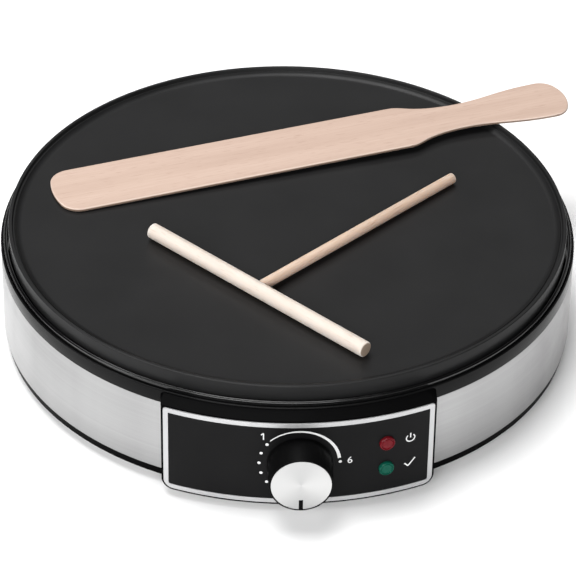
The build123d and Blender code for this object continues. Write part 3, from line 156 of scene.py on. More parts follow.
def make_handling_marks():
    """Soft patches left by wiping and fingers, 0 where clean."""
    tree, given, made = new_group("Handling marks", [("Place", "NodeSocketVector", None),
                                                     ("Patch Scale", "NodeSocketFloat", 35.0)], ["Mask"])
    patches = noise(tree, given["Place"], given["Patch Scale"], 4.0, 0.6)
    swirl = add_node(tree, "ShaderNodeTexNoise", {"Vector": given["Place"], "Scale": 12.0, "Detail": 1.0,
                                                  "Distortion": 1.5}).outputs["Fac"]
    tree.links.new(between(tree, calculate(tree, "MULTIPLY", patches, swirl), 0.0, 1.0, 0.2, 0.42), made["Mask"])
    return tree


def make_timber_grain():
    """Long figure, pores and fibres of timber whose grain runs along X of the turned place."""
    tree, given, made = new_group("Timber grain", [("Turned Place", "NodeSocketVector", None)],
                                  ["Figure", "Pores", "Fibre"])
    figure_place = stretch(tree, given["Turned Place"], (4, 75, 40))
    figure = add_node(tree, "ShaderNodeTexNoise", {"Vector": figure_place, "Scale": 1.0, "Detail": 4.0,
                                                   "Distortion": 0.6}).outputs["Fac"]
    fibre = noise(tree, stretch(tree, given["Turned Place"], (30, 1500, 1500)), 1.0, 3.0, 0.6)
    pores = noise(tree, stretch(tree, given["Turned Place"], (110, 1500, 1500)), 1.0, 1.0)
    tree.links.new(between(tree, figure, 0.0, 1.0, 0.25, 0.75), made["Figure"])
    tree.links.new(between(tree, pores, 0.0, 1.0, 0.63, 0.72), made["Pores"])
    tree.links.new(fibre, made["Fibre"])
    return tree


def make_spun_face():
    """Turning rings of a spun disc that faces -Y, with painted reflection as light and dark wedges, and one side
    painted lighter.
    """
    tree, given, made = new_group("Spun face", [("Centred Place", "NodeSocketVector", None)], ["Rings", "Painted Wedges"])
    split = add_node(tree, "ShaderNodeSeparateXYZ", {"Vector": given["Centred Place"]}).outputs
    radius = calculate(tree, "SQRT", calculate(tree, "ADD", calculate(tree, "MULTIPLY", split["X"], split["X"]),
                                               calculate(tree, "MULTIPLY", split["Z"], split["Z"])))
    on_radius = add_node(tree, "ShaderNodeCombineXYZ", {"X": radius}).outputs["Vector"]
    angle = calculate(tree, "ARCTAN2", split["X"], split["Z"])
    # painted reflection: two dark wedges, above and below the middle; painted light: one side a little lighter
    painted_reflection_wedge = calculate(tree, "COSINE", calculate(tree, "ADD", calculate(tree, "MULTIPLY", angle, 2.0), pi))
    side = calculate(tree, "COSINE", calculate(tree, "ADD", angle, -0.75 * pi))
    tree.links.new(noise(tree, on_radius, 4200.0, 3.0, 0.6), made["Rings"])
    painted_lighter_side = calculate(tree, "ADD", calculate(tree, "MULTIPLY", side, 0.18), 0.5)
    tree.links.new(calculate(tree, "ADD", calculate(tree, "MULTIPLY", painted_reflection_wedge, 0.32), painted_lighter_side), made["Painted Wedges"])
    return tree


MOULDING_GRAIN = make_moulding_grain()
BRUSHING = make_brushing()
HANDLING_MARKS = make_handling_marks()
TIMBER_GRAIN = make_timber_grain()
SPUN_FACE = make_spun_face()


def new_material(name, **settings):
    """A material with one Principled surface; settings are typed straight into its sockets."""
    material = bpy.data.materials.new(name)
    material.use_nodes = True
    tree = material.node_tree
    tree.nodes.clear()
    surface = add_node(tree, "ShaderNodeBsdfPrincipled",
                       {key.replace("_", " ").title().replace("Ior", "IOR"): value for key, value in settings.items()})
    add_node(tree, "ShaderNodeOutputMaterial", {"Surface": surface.outputs["BSDF"]})
    place = tree.nodes.new("ShaderNodeTexCoord").outputs["Object"]
    return material, tree, surface.inputs, place


def effect(tree, group, inputs):
    """Places one of the shared effects in a material."""
    return add_node(tree, "ShaderNodeGroup", inputs, node_tree=group).outputs


def roughen(tree, surface, height, depth):
    """Bump from a height of 0 to 1, depth in millimetres."""
    bump = add_node(tree, "ShaderNodeBump", {"Height": height, "Distance": depth * MM, "Strength": 1.0})
    tree.links.new(bump.outputs["Normal"], surface["Normal"])


# ---------------------------------------------------------------- finishes
def moulded(name, dark, light, roughness=(0.42, 0.52), grain=1500.0, depth=0.01, gloss=0.35, **settings):
    """Moulded plastic or rubber; gloss is its specular level."""
    material, tree, surface, place = new_material(name, specular_ior_level=gloss, **settings)
    grained = effect(tree, MOULDING_GRAIN, {"Place": place, "Grain Scale": grain})
    marks = effect(tree, HANDLING_MARKS, {"Place": place})["Mask"]
    tree.links.new(blend_colours(tree, between(tree, grained["Tone"], 0, 1), dark, light), surface["Base Color"])
    tree.links.new(between(tree, share(tree, 0.7, grained["Tone"], marks), *roughness, 0.2, 0.7), surface["Roughness"])
    roughen(tree, surface, grained["Height"], depth)
    return material


def metal(name, dark, light, roughness=(0.25, 0.4), scale=(900, 900, 900), depth=0.003):
    """Metal with a fine rubbed, rolled or brushed surface: the scale is small along the lines."""
    material, tree, surface, place = new_material(name, metallic=1.0)
    lines = effect(tree, BRUSHING, {"Stretched Place": stretch(tree, place, scale)})
    marks = effect(tree, HANDLING_MARKS, {"Place": place})["Mask"]
    tree.links.new(blend_colours(tree, between(tree, lines["Streak"], 0, 1), dark, light), surface["Base Color"])
    tree.links.new(between(tree, share(tree, 0.6, lines["Streak"], marks), *roughness, 0.15, 0.7), surface["Roughness"])
    roughen(tree, surface, lines["Height"], depth)
    return material


def timber(name, bearing, centre, colours, pore, rise=0.0, pore_depth=0.5, **settings):
    """Planed or turned wood whose grain runs along a bearing from +X, through its centre in millimetres."""
    material, tree, surface, place = new_material(name, specular_ior_level=0.35, **settings)
    centred = stretch(tree, place, location=[-length * MM for length in centre])
    turned_place = stretch(tree, centred, rotation=(0, rise, -bearing))
    grain = effect(tree, TIMBER_GRAIN, {"Turned Place": turned_place})
    body = blend_colours(tree, grain["Figure"], *colours)
    fibre = add_node(tree, "ShaderNodeMix", {0: between(tree, grain["Fibre"], 0.0, 0.5), 6: body, 7: (*colours[0], 1)},
                     data_type="RGBA").outputs[2]
    coloured = add_node(tree, "ShaderNodeMix", {0: calculate(tree, "MULTIPLY", grain["Pores"], pore_depth), 6: fibre,
                                                7: (*pore, 1)}, data_type="RGBA").outputs[2]
    tree.links.new(coloured, surface["Base Color"])
    tree.links.new(between(tree, grain["Fibre"], 0.5, 0.68), surface["Roughness"])
    sunken_pores = calculate(tree, "MULTIPLY", grain["Pores"], 0.6)
    roughen(tree, surface, calculate(tree, "SUBTRACT", grain["Fibre"], sunken_pores), 0.03)
    return material


def make_plate_coating():
    """Dark non-stick coating over a cast and turned plate."""
    material, tree, surface, place = new_material("Plate coating", specular_ior_level=0.14)
    grained = effect(tree, MOULDING_GRAIN, {"Place": place, "Grain Scale": 2300.0})
    marks = effect(tree, HANDLING_MARKS, {"Place": place, "Patch Scale": 14.0})["Mask"]
    tree.links.new(blend_colours(tree, between(tree, grained["Tone"], 0, 1), (0.0072, 0.0072, 0.0074),
                                 (0.0102, 0.0102, 0.0104)), surface["Base Color"])
    tree.links.new(between(tree, share(tree, 0.5, grained["Height"], marks), 0.36, 0.46, 0.2, 0.8),
                   surface["Roughness"])
    roughen(tree, surface, grained["Height"], 0.012)
    return material


def make_brushed_band():
    """Satin steel band brushed round the body, with soft upright changes of tone, and painted shade that darkens its
    colour towards its +X end.
    """
    material, tree, surface, place = new_material("Brushed band", metallic=1.0, anisotropic=0.7)
    around = add_node(tree, "ShaderNodeTangent", direction_type="RADIAL", axis="Z").outputs["Tangent"]
    tree.links.new(around, surface["Tangent"])
    lines = effect(tree, BRUSHING, {"Stretched Place": stretch(tree, place, (28, 28, 4200))})
    marks = effect(tree, HANDLING_MARKS, {"Place": place, "Patch Scale": 30.0})["Mask"]
    upright = noise(tree, stretch(tree, place, (34, 34, 1.5)), 1.0, 2.0)
    tone = share(tree, 0.55, lines["Streak"], upright)
    # painted shade: the colour is darkened towards the band's +X end, between X = 80 mm and 150 mm, down to the darkest
    # ramp colour
    across = add_node(tree, "ShaderNodeSeparateXYZ", {"Vector": place}).outputs["X"]
    tone_and_painted_shade = calculate(tree, "MULTIPLY", between(tree, tone, 0.5, 1.0, 0.35, 0.65),
                      between(tree, across, 1.0, 0.25, 80.0 * MM, 150.0 * MM))
    tree.links.new(blend_colours(tree, tone_and_painted_shade, (0.19, 0.185, 0.187), (0.33, 0.329, 0.33), (0.405, 0.405, 0.405)),
                   surface["Base Color"])
    tree.links.new(between(tree, share(tree, 0.5, lines["Height"], marks), 0.3, 0.42, 0.2, 0.7), surface["Roughness"])
    roughen(tree, surface, lines["Height"], 0.004)
    return material


def make_spun_cap():
    """Bright spun aluminium of the knob's cap."""
    material, tree, surface, place = new_material("Spun cap", metallic=1.0)
    centred = stretch(tree, place, location=(0, 0, -KNOB_HEIGHT * MM))
    face = effect(tree, SPUN_FACE, {"Centred Place": centred})
    # painted reflection and painted light: the wedges and lighter side of the spun face set the base colour
    tree.links.new(blend_colours(tree, face["Painted Wedges"], (0.44, 0.44, 0.44), (0.565, 0.565, 0.56)), surface["Base Color"])
    tree.links.new(between(tree, face["Rings"], 0.28, 0.4), surface["Roughness"])
    roughen(tree, surface, face["Rings"], 0.006)
    return material


def make_lens(name, deep, bright):
    """Tinted lens, cloudy inside, with a polished face."""
    material, tree, surface, place = new_material(name, specular_ior_level=0.08, coat_weight=0.045, coat_roughness=0.1)
    cloudy = effect(tree, MOULDING_GRAIN, {"Place": place, "Grain Scale": 420.0})
    tree.links.new(blend_colours(tree, between(tree, cloudy["Tone"], 0, 1), deep, bright), surface["Base Color"])
    tree.links.new(between(tree, cloudy["Height"], 0.12, 0.2), surface["Roughness"])
    roughen(tree, surface, cloudy["Height"], 0.008)
    return material


def make_print():
    """White screen printing, a little uneven in its ink."""
    material, tree, surface, place = new_material("White print")
    grained = effect(tree, MOULDING_GRAIN, {"Place": place, "Grain Scale": 2600.0})
    tree.links.new(blend_colours(tree, between(tree, grained["Tone"], 0, 1), (0.52, 0.52, 0.52), (0.64, 0.64, 0.64)),
                   surface["Base Color"])
    tree.links.new(between(tree, grained["Height"], 0.5, 0.65), surface["Roughness"])
    roughen(tree, surface, grained["Height"], 0.01)
    return material


finishes = {
    "black_shell": moulded("Black moulding", (0.0006, 0.0006, 0.0007), (0.0013, 0.0013, 0.0014), (0.32, 0.44),
                           gloss=0.5, ior=1.06),
    "ring_black": moulded("Ring moulding", (0.002, 0.002, 0.0021), (0.0036, 0.0036, 0.0037), (0.2, 0.28),
                          gloss=0.5, ior=1.17),
    "fascia_black": moulded("Fascia sheet", (0.0036, 0.0036, 0.0038), (0.0057, 0.0057, 0.0059), (0.34, 0.44),
                            2600.0, 0.006, gloss=0.06),
    "knob_black": moulded("Knob moulding", (0.0012, 0.0012, 0.0013), (0.0025, 0.0025, 0.0026), (0.32, 0.42),
                          gloss=0.5, ior=1.11),
    "pan_enamel": moulded("Black enamel", (0.0025, 0.0025, 0.0026), (0.0045, 0.0045, 0.0046), (0.07, 0.13),
                          900.0, 0.004, gloss=0.5, ior=1.5),
    "socket_plastic": moulded("Natural nylon", (0.62, 0.6, 0.53), (0.72, 0.7, 0.64), (0.4, 0.5)),
    "block_nylon": moulded("Block nylon", (0.66, 0.65, 0.6), (0.76, 0.75, 0.71), (0.4, 0.5)),
    "thermostat_case": moulded("Phenolic case", (0.09, 0.035, 0.018), (0.14, 0.06, 0.03), (0.22, 0.34)),
    "ceramic": moulded("Glazed ceramic", (0.72, 0.69, 0.6), (0.8, 0.78, 0.71), (0.16, 0.26), 700.0, 0.01),
    "rubber_black": moulded("Foot rubber", (0.012, 0.012, 0.012), (0.022, 0.022, 0.022), (0.6, 0.75), 900.0, 0.02),
    "gland_rubber": moulded("Gland rubber", (0.01, 0.01, 0.01), (0.018, 0.018, 0.018), (0.5, 0.65), 1100.0, 0.015),
    "silicone": moulded("Silicone rubber", (0.4, 0.04, 0.02), (0.5, 0.07, 0.035), (0.5, 0.62), 1100.0, 0.01),
    "lead_brown": moulded("Brown sleeve", (0.05, 0.02, 0.008), (0.08, 0.032, 0.014), (0.45, 0.6), 1300.0, 0.01),
    "lead_blue": moulded("Blue sleeve", (0.01, 0.035, 0.22), (0.02, 0.06, 0.32), (0.45, 0.6), 1300.0, 0.01),
    "lead_white": moulded("Woven sleeve", (0.6, 0.6, 0.56), (0.78, 0.78, 0.74), (0.6, 0.75), 1900.0, 0.04),
    "lead_earth": moulded("Earth sleeve", (0.06, 0.22, 0.01), (0.45, 0.42, 0.02), (0.45, 0.6), 1300.0, 0.01),
    "lamp_glass": moulded("Lamp glass", (0.75, 0.6, 0.5), (0.85, 0.75, 0.65), (0.05, 0.12), 600.0, 0.004,
                          transmission_weight=0.8, ior=1.5),
    "trim_silver": moulded("Silver trim", (0.4, 0.4, 0.405), (0.48, 0.48, 0.485), (0.3, 0.42), 1900.0, 0.006,
                           metallic=0.6),
    "print_white": make_print(),
    "plate_coated": make_plate_coating(),
    "brushed_band": make_brushed_band(),
    "cap_aluminium": make_spun_cap(),
    "lens_red": make_lens("Red lens", (0.07, 0.004, 0.007), (0.145, 0.007, 0.011)),
    "lens_green": make_lens("Green lens", (0.002, 0.042, 0.028), (0.004, 0.088, 0.056)),
    "screw_steel": metal("Plated screw", (0.5, 0.5, 0.48), (0.66, 0.66, 0.64), (0.25, 0.4)),
    "rivet_aluminium": metal("Rivet aluminium", (0.42, 0.42, 0.42), (0.56, 0.56, 0.56), (0.3, 0.45), (260, 260, 1600)),
    "heater_tube": metal("Oxidised tube", (0.07, 0.075, 0.06), (0.13, 0.135, 0.11), (0.4, 0.6), (600, 600, 600), 0.008),
    "nickel": metal("Nickel plate", (0.58, 0.56, 0.52), (0.7, 0.68, 0.64), (0.16, 0.28)),
    "spring_steel": metal("Rolled steel", (0.36, 0.36, 0.36), (0.48, 0.48, 0.48), (0.3, 0.42), (120, 900, 900)),
    "bracket_zinc": metal("Zinc sheet", (0.42, 0.43, 0.42), (0.54, 0.55, 0.54), (0.34, 0.5), (240, 700, 700)),
    "brass": metal("Turned brass", (0.55, 0.38, 0.14), (0.68, 0.5, 0.22), (0.22, 0.34), (900, 240, 900)),
    "copper": metal("Drawn copper", (0.5, 0.2, 0.11), (0.66, 0.3, 0.18), (0.28, 0.42), (500, 500, 500)),
    "beech": timber("Planed beech", SPATULA_BEARING, SPATULA_TIP,
                    [(0.375, 0.268, 0.214), (0.435, 0.32, 0.26), (0.475, 0.356, 0.294)], (0.28, 0.185, 0.14), rise=0.8,
                    pore_depth=0.42),
    # painted highlight: the spatula's eased edges get a lighter tone that is partly wear and partly a painted highlight
    "worn beech edge with painted highlight": timber("Worn beech edge with painted highlight", SPATULA_BEARING, SPATULA_TIP,
                              [(0.46, 0.36, 0.3), (0.5, 0.4, 0.34), (0.54, 0.44, 0.38)], (0.36, 0.26, 0.2)),
    # painted shade: the spatula's sawn sides get a much darker copy of the beech colours
    "sawn beech side with painted shade": timber("Sawn beech side with painted shade", SPATULA_BEARING, SPATULA_TIP,
                              [(0.16, 0.105, 0.075), (0.2, 0.135, 0.1), (0.24, 0.165, 0.125)], (0.1, 0.06, 0.04)),
    "birch": timber("Turned birch", BAR_BEARING, SPREADER_MIDDLE,
                    [(0.46, 0.395, 0.345), (0.505, 0.445, 0.398), (0.545, 0.49, 0.446)], (0.36, 0.28, 0.22),
                    subsurface_weight=1.0, subsurface_radius=(1.0, 0.9, 0.8), subsurface_scale=0.015),
    "end grain": timber("Sawn end grain", BAR_BEARING, SPREADER_MIDDLE,
                        [(0.24, 0.18, 0.135), (0.31, 0.24, 0.185), (0.37, 0.3, 0.24)], (0.16, 0.11, 0.08)),
    "dowel": timber("Turned dowel", HANDLE_BEARING, SPREADER_MIDDLE,
                    [(0.38, 0.285, 0.223), (0.465, 0.355, 0.288), (0.53, 0.413, 0.342)], (0.27, 0.18, 0.13),
                    subsurface_weight=0.8, subsurface_radius=(1.0, 0.8, 0.6), subsurface_scale=0.01),
}

node_slots = {part["node"]: part["material_slot"] for part in frame["record"]["subparts"]}
for node, piece in frame["nodes"].items():
    for material_slot in piece.material_slots:
        material_slot.material = finishes[node_slots[node]]
    if not piece.material_slots:
        piece.data.materials.append(finishes[node_slots[node]])


# ---------------------------------------------------------------- modelling helpers
def body_of(node):
    return frame["nodes"][node]["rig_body"]


def finish_piece(shape, name, replaced, slot=None, body=None, crease=35.0):
    """Closes a modelled shape up as a piece that stands for CAD nodes."""
    bmesh.ops.remove_doubles(shape, verts=shape.verts, dist=0.001 * MM)
    bmesh.ops.recalc_face_normals(shape, faces=shape.faces)
    mesh = bpy.data.meshes.new(name)
    shape.to_mesh(mesh)
    shape.free()
    mesh.shade_smooth()
    mesh.set_sharp_from_angle(angle=radians(crease))
    slot = slot or node_slots[replaced[0]]
    mesh.materials.append(finishes[slot])
    piece = bpy.data.objects.new(name, mesh)
    scene.collection.objects.link(piece)
    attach(piece, body or body_of(replaced[0]))
    if replaced:
        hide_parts(*replaced)
    return piece


def drawn_profile(points, closed=True):
    """Profile of (radius, height, rounding) corners in the XZ plane; the rounding may be left out."""
    shape = bmesh.new()
    corners = [shape.verts.new((point[0] * MM, 0, point[1] * MM)) for point in points]
    for before, after in zip(corners, corners[1:]):
        shape.edges.new((before, after))
    if closed:
        shape.edges.new((corners[-1], corners[0]))
    for corner, point in zip(corners, points):
        if len(point) > 2:
            bmesh.ops.bevel(shape, geom=[corner], offset=point[2] * MM, offset_type="OFFSET", segments=6, profile=0.5,
                            affect="VERTICES", material=-1)
    return shape


def turn(shape, steps=TURNED_STEPS, angle=tau):
    """Spins a profile about the upright axis."""
    bmesh.ops.spin(shape, geom=shape.verts[:] + shape.edges[:], cent=(0, 0, 0), axis=(0, 0, 1), dvec=(0, 0, 0),
                   angle=angle, space=Matrix.Identity(4), steps=steps, use_merge=angle == tau, use_normal_flip=False,
                   use_duplicate=False)
    bmesh.ops.remove_doubles(shape, verts=shape.verts, dist=0.001 * MM)
    return shape


def eased_copy(node, width=0.25, segments=2):
    """A CAD node with its sharp edges rounded over."""
    shape = bmesh.new()
    shape.from_mesh(frame["nodes"][node].data)
    bmesh.ops.remove_doubles(shape, verts=shape.verts, dist=0.001 * MM)
    bmesh.ops.dissolve_limit(shape, angle_limit=radians(0.3), verts=shape.verts, edges=shape.edges,
                             use_dissolve_boundaries=False, delimit=set())
    piece = finish_piece(shape, node + "_eased", [node], crease=30.0)
    bevel = piece.modifiers.new("Rounded edges", "BEVEL")
    bevel.width = width * MM
    bevel.segments = segments
    bevel.limit_method = "ANGLE"
    bevel.angle_limit = radians(35)
    bevel.use_clamp_overlap = True
    return piece


# ---------------------------------------------------------------- turned sheet and castings
plate = turn(drawn_profile([
    (0, 65.5), (145.9, 65.5), (150.9, 66.7, 0.6), (152.2, 66.7, 0.5), (152.2, 63.0, 0.5), (154.0, 62.1, 0.6),
    (155.4, 63.1, 0.5), (155.4, 73.3, 0.6), (153.4, 73.3, 0.25), (153.0, 71.3, 0.15), (152.1, 71.3, 0.15),
    (151.8, 71.9, 0.2), (150.3, 70.0, 2.3), (0, 70.0),
], closed=False))
finish_piece(plate, "griddle_plate", ["cooking_plate"], crease=50.0)

pan = turn(drawn_profile([
    (0, 50.0), (148.0, 50.0, 2.0), (148.0, 56.0, 0.8), (158.4, 56.0, 0.8), (158.4, 64.6, 0.35), (157.6, 64.6, 0.25),
    (157.3, 64.0, 0.1), (157.0, 64.6, 0.25), (156.2, 64.6, 0.35), (156.2, 62.9, 0.5), (157.4, 62.9),
    (157.4, 57.0, 0.5), (147.0, 57.0, 0.8), (147.0, 51.0, 2.0), (0, 51.0),
], closed=False))
finish_piece(pan, "drip_pan", ["reflector_pan"], crease=60.0)

ring = turn(drawn_profile([
    (148.5, 53.4), (157.0, 53.4), (157.0, 50.3), (159.2, 50.3), (159.2, 54.4), (160.0, 54.4, 0.2), (160.0, 62.6, 0.5),
    (158.9, 62.6, 0.3), (158.9, 56.0), (148.5, 56.0),
]))
finish_piece(ring, "edge_ring", ["top_ring"], crease=40.0)

# the band runs from one end of the panel round the back to the other
BAND_START, BAND_SWEEP = -71.5, 323
band = drawn_profile([(159.4, 9.8), (160.0, 9.8, 0.12), (160.0, 54.4, 0.22), (159.4, 54.4)])
bmesh.ops.rotate(band, verts=band.verts, cent=(0, 0, 0), matrix=Matrix.Rotation(radians(BAND_START), 3, "Z"))
turn(band, angle=radians(BAND_SWEEP))
bmesh.ops.holes_fill(band, edges=[edge for edge in band.edges if edge.is_boundary], sides=0)
finish_piece(band, "brushed_steel_band", ["steel_band"], crease=40.0)

# the knob is drawn upright, with its distance from the body's axis as its height, and then laid towards the front
CAP_RADIUS, CAP_THICKNESS, CAP_SEAT = 15.9, 0.9, 185.2
SLOT_HALF_WIDTH, SLOT_END = 1.1, 9.8
FACING_FRONT = Matrix.Translation((0, 0, KNOB_HEIGHT * MM)) @ Matrix.Rotation(radians(90), 4, "X")

knob = turn(drawn_profile([
    (0, 180.9), (3.1, 180.9), (3.1, 168.9), (6.0, 168.9), (6.0, 182.1), (15.3, 182.1), (15.3, 168.9),
    (17.5, 168.9, 0.3), (16.75, 186.1, 0.2), (15.96, 186.1, 0.08), (15.96, CAP_SEAT), (0, CAP_SEAT),
], closed=False), steps=160)
bmesh.ops.transform(knob, matrix=FACING_FRONT, verts=knob.verts)
finish_piece(knob, "knob_skirt", ["knob"], crease=35.0)


def make_knob_cap():
    """Spun disc let into the knob, with a slot for the pointer at its lower edge."""
    cap = bmesh.new()
    bmesh.ops.create_circle(cap, cap_ends=True, radius=CAP_RADIUS * MM, segments=160)
    for place, normal in (((-SLOT_HALF_WIDTH, 0), (1, 0)), ((SLOT_HALF_WIDTH, 0), (1, 0)), ((0, -SLOT_END), (0, 1))):
        bmesh.ops.bisect_plane(cap, geom=cap.verts[:] + cap.edges[:] + cap.faces[:], dist=1e-7,
                               plane_co=(place[0] * MM, place[1] * MM, 0), plane_no=(*normal, 0))
    slot = [face for face in cap.faces if abs(face.calc_center_median().x) < SLOT_HALF_WIDTH * MM
            and face.calc_center_median().y < -SLOT_END * MM]
    bmesh.ops.delete(cap, geom=slot, context="FACES")
    bmesh.ops.dissolve_faces(cap, faces=cap.faces[:])
    raised = bmesh.ops.extrude_face_region(cap, geom=cap.faces[:])["geom"]
    top = [item for item in raised if isinstance(item, bmesh.types.BMVert)]
    bmesh.ops.translate(cap, vec=(0, 0, CAP_THICKNESS * MM), verts=top)
    edges = [edge for edge in cap.edges if all(vert in top for vert in edge.verts)]
    bmesh.ops.bevel(cap, geom=edges, offset=0.12 * MM, segments=2, profile=0.5, affect="EDGES", material=-1)
    bmesh.ops.transform(cap, matrix=FACING_FRONT @ Matrix.Translation((0, 0, CAP_SEAT * MM)), verts=cap.verts)
    finish_piece(cap, "spun_cap", ["knob_cap"], crease=30.0)


make_knob_cap()
eased_copy("knob_pointer", 0.12)
eased_copy("control_panel", 0.4, 3)
eased_copy("panel_trim", 0.3, 3)
eased_copy("panel_fascia", 0.1)


LAMP_BEARING = 285.86


def make_lamp_lens(name, node, height):
    """Lens with a sloping polished ring round its flat face."""
    lens = turn(drawn_profile([
        (0, 164.05), (5.35, 164.05), (5.35, 165.05), (4.25, 165.05), (4.25, 169.3, 0.5),
        (3.55, 169.7, 0.2), (3.25, 169.0, 0.1), (2.95, 169.0, 0.1), (2.75, 169.4, 0.15), (0, 169.7),
    ], closed=False), steps=64)
    outward = Matrix.Rotation(radians(LAMP_BEARING), 4, "Z") @ Matrix.Rotation(pi / 2, 4, "Y")
    bmesh.ops.transform(lens, matrix=Matrix.Translation((0, 0, height * MM)) @ outward, verts=lens.verts)
    finish_piece(lens, name, [node], crease=25.0)


make_lamp_lens("power_lamp_lens", "power_lens", 40.1)
make_lamp_lens("ready_lamp_lens", "ready_lens", 23.2)


# ---------------------------------------------------------------- printing on the fascia
PRINT_RADIUS = 168.06
CAPITAL_SHARE = 0.7    # height of a digit as a share of the letter size


def wrap_on_fascia(shape):
    """Bends flat printing, drawn in a front view, round the fascia."""
    for vert in shape.verts:
        radius = PRINT_RADIUS * MM + vert.co.z
        vert.co = Vector((vert.co.x, -sqrt(radius ** 2 - vert.co.x ** 2), vert.co.y))


def print_shape(shape, name):
    bmesh.ops.triangulate(shape, faces=shape.faces)
    wrap_on_fascia(shape)
    finish_piece(shape, name, [], slot="print_white", body="body")


def print_number(text, place, height, name):
    """A dial number; the place is its middle, in millimetres across and up."""
    letters = bpy.data.curves.new(name, "FONT")
    letters.body = text
    letters.size = height * MM / CAPITAL_SHARE
    letters.align_x, letters.align_y = "CENTER", "CENTER"
    letters.extrude = 0.04 * MM
    holder = bpy.data.objects.new(name, letters)
    scene.collection.objects.link(holder)
    bpy.context.view_layer.update()
    flat = bpy.data.meshes.new_from_object(holder.evaluated_get(bpy.context.evaluated_depsgraph_get()))
    bpy.data.objects.remove(holder)
    shape = bmesh.new()
    shape.from_mesh(flat)
    bpy.data.meshes.remove(flat)
    bmesh.ops.remove_doubles(shape, verts=shape.verts, dist=0.001 * MM)
    bmesh.ops.translate(shape, vec=(place[0] * MM, place[1] * MM, 0), verts=shape.verts)
    print_shape(shape, name)


def print_stroke(shape, points, width=0.62):
    """A drawn line of even width, as one flat bar from each point to the next."""
    for start, end in zip(points, points[1:]):
        start, end = Vector((*start, 0)) * MM, Vector((*end, 0)) * MM
        along = end - start
        bar = bmesh.ops.create_cube(shape, size=1.0)["verts"]
        bmesh.ops.scale(shape, vec=(along.length, width * MM, 0.08 * MM), verts=bar)
        slope = along.to_2d().angle_signed(Vector((1, 0)))
        bmesh.ops.rotate(shape, verts=bar, cent=(0, 0, 0), matrix=Matrix.Rotation(slope, 3, "Z"))
        bmesh.ops.translate(shape, vec=(start + end) / 2, verts=bar)


low_number = bmesh.new()
print_stroke(low_number, [(-20.4, 50.6), (-19.1, 51.8), (-19.1, 47.6)])
print_shape(low_number, "low_number")
print_number("6", (26.4, 32.2), 4.2, "high_number")

# on-off mark beside the power lamp
MARK_X, MARK_Z, MARK_RADIUS = 58.6, 39.9, 2.3
power_mark = bmesh.new()
print_stroke(power_mark, [(MARK_X + MARK_RADIUS * cos(radians(angle)), MARK_Z + MARK_RADIUS * sin(radians(angle)))
                          for angle in range(130, 411, 20)])
print_stroke(power_mark, [(MARK_X, 40.1), (MARK_X, 43.1)])
print_shape(power_mark, "power_mark")

# tick beside the ready lamp
ready_mark = bmesh.new()
print_stroke(ready_mark, [(55.9, 23.3), (57.8, 21.2), (61.5, 25.9)], 0.72)
print_shape(ready_mark, "ready_mark")


# ---------------------------------------------------------------- the wooden tools
BAR_RADIUS, BAR_HALF_LENGTH = 4.4, 78.8
HANDLE_RADIUS, HANDLE_REACH, HANDLE_SOCKET = 3.05, 151.5, 6.0
SQUARE_ON, SLANTING = 0.95, 0.3    # how far a face turns one way, from 0 for edge on to 1


def level_along(bearing, rise=0.0):
    """Direction of a bearing from +X, in degrees, with a rise for each length along it."""
    return Vector((cos(radians(bearing)), sin(radians(bearing)), rise)).normalized()


def make_dowel(name, node, radius, start, end, round_over):
    """Turned rod between two points, in millimetres, with end grain at its ends."""
    start, end = Vector(start), Vector(end)
    length = (end - start).length
    rod = turn(drawn_profile([(0, 0), (radius, 0, round_over), (radius, length, round_over), (0, length)],
                             closed=False), steps=64)
    place = Matrix.Translation(start * MM) @ (end - start).to_track_quat("Z", "Y").to_matrix().to_4x4()
    bmesh.ops.transform(rod, matrix=place, verts=rod.verts)
    piece = finish_piece(rod, name, [node], crease=50.0)
    piece.data.materials.append(finishes["end grain"])
    along = (end - start).normalized()
    for face in piece.data.polygons:
        if abs(face.normal.dot(along)) > SQUARE_ON:
            face.material_index = 1


middle = Vector(SPREADER_MIDDLE)
bar_half = level_along(BAR_BEARING) * BAR_HALF_LENGTH
make_dowel("batter_bar", "spreader_bar", BAR_RADIUS, middle - bar_half, middle + bar_half, 0.7)

# the handle sits in the bar and slopes down until its far end lies on the plate
handle_out = level_along(HANDLE_BEARING, -(BAR_RADIUS - HANDLE_RADIUS) / (HANDLE_REACH + BAR_RADIUS))
make_dowel("batter_handle", "spreader_handle", HANDLE_RADIUS, middle + handle_out * (BAR_RADIUS - HANDLE_SOCKET),
           middle + handle_out * (BAR_RADIUS + HANDLE_REACH), 0.6)

# the spatula's flat faces are planed, its eased edges worn and lightened with a painted highlight, and its sides sawn
# and darkened with painted shade
spatula = eased_copy("spatula", 0.35, 3)
spatula.data.materials.append(finishes["worn beech edge with painted highlight"])
spatula.data.materials.append(finishes["sawn beech side with painted shade"])
# edges get the lighter painted-highlight finish, sides the darker painted-shade finish
for face in spatula.data.polygons:
    if abs(face.normal.z) < SQUARE_ON:
        face.material_index = 1 if abs(face.normal.z) > SLANTING else 2


# ---------------------------------------------------------------- floor, light and camera
def make_floor():
    bpy.ops.mesh.primitive_plane_add(size=14)
    floor = bpy.context.object
    floor.name = "floor"
    material, tree, surface, place = new_material("Pale floor", specular_ior_level=0.1, roughness=0.8)
    tree.links.new(blend_colours(tree, noise(tree, place, 3.0), (0.88, 0.88, 0.88), (0.9, 0.9, 0.9)),
                   surface["Base Color"])
    floor.data.materials.append(material)


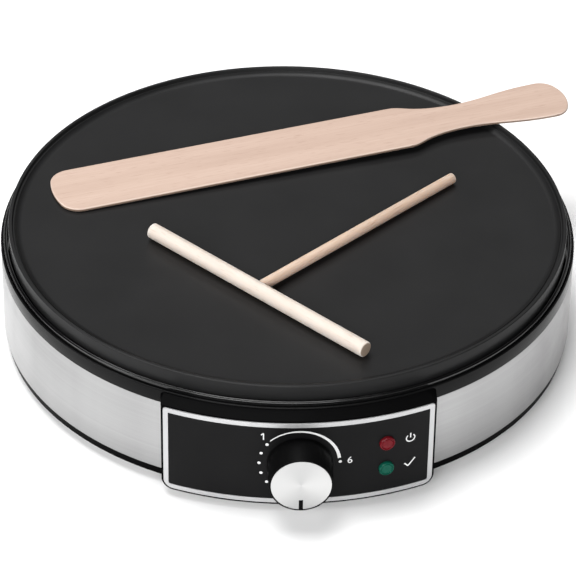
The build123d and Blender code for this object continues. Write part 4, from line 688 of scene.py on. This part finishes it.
def add_softbox(name, place, towards, size, power):
    light = bpy.data.lights.new(name, "AREA")
    light.shape = "RECTANGLE"
    light.size, light.size_y = size
    light.energy = power
    lamp = bpy.data.objects.new(name, light)
    lamp.location = place
    lamp.rotation_euler = (Vector(towards) - Vector(place)).to_track_quat("-Z", "Y").to_euler()
    scene.collection.objects.link(lamp)


CAMERA_PLACE = (-0.07319, -1.48004, 1.10863)
CAMERA_TURN = (-2.86, 36.2298, 0.9156)    # azimuth, elevation and roll in degrees
CAMERA_LENS = 202.599


def make_camera():
    azimuth, elevation, roll = (radians(angle) for angle in CAMERA_TURN)
    back = Vector((sin(azimuth) * cos(elevation), -cos(azimuth) * cos(elevation), sin(elevation)))
    right = Vector((cos(azimuth), sin(azimuth), 0))
    up = back.cross(right)
    across = right * cos(roll) + up * sin(roll)
    upward = up * cos(roll) - right * sin(roll)
    lens = bpy.data.cameras.new("camera")
    lens.sensor_width = 36
    lens.lens = CAMERA_LENS
    lens.clip_start, lens.clip_end = 0.05, 50
    camera = bpy.data.objects.new("camera", lens)
    camera.matrix_world = Matrix((
        (across.x, upward.x, back.x, CAMERA_PLACE[0]),
        (across.y, upward.y, back.y, CAMERA_PLACE[1]),
        (across.z, upward.z, back.z, CAMERA_PLACE[2]),
        (0, 0, 0, 1),
    ))
    scene.collection.objects.link(camera)
    scene.camera = camera


make_floor()
add_softbox("overhead softbox", (-0.35, 0.4, 2.15), (0, 0, 0), (1.4, 1.4), 62)
add_softbox("left softbox", (-2.0, -0.5, 0.9), (0, 0, 0.05), (1.2, 1.4), 22)
add_softbox("right softbox", (2.0, -0.3, 0.9), (0, 0, 0.05), (1.2, 1.2), 1.5)
add_softbox("front softbox", (-0.4, -2.4, 1.1), (0, -0.1, 0.03), (2.4, 1.2), 84)
add_softbox("back strip", (0.2, 2.2, 1.9), (0, 0, 0.05), (2.4, 0.6), 6)
make_camera()

world = bpy.data.worlds.new("studio")
scene.world = world
world.use_nodes = True
background = world.node_tree.nodes["Background"].inputs
background["Color"].default_value = (0.97, 0.98, 1.0, 1)
background["Strength"].default_value = 0.08
scene.view_settings.view_transform = "Standard"
scene.view_settings.look = "None"
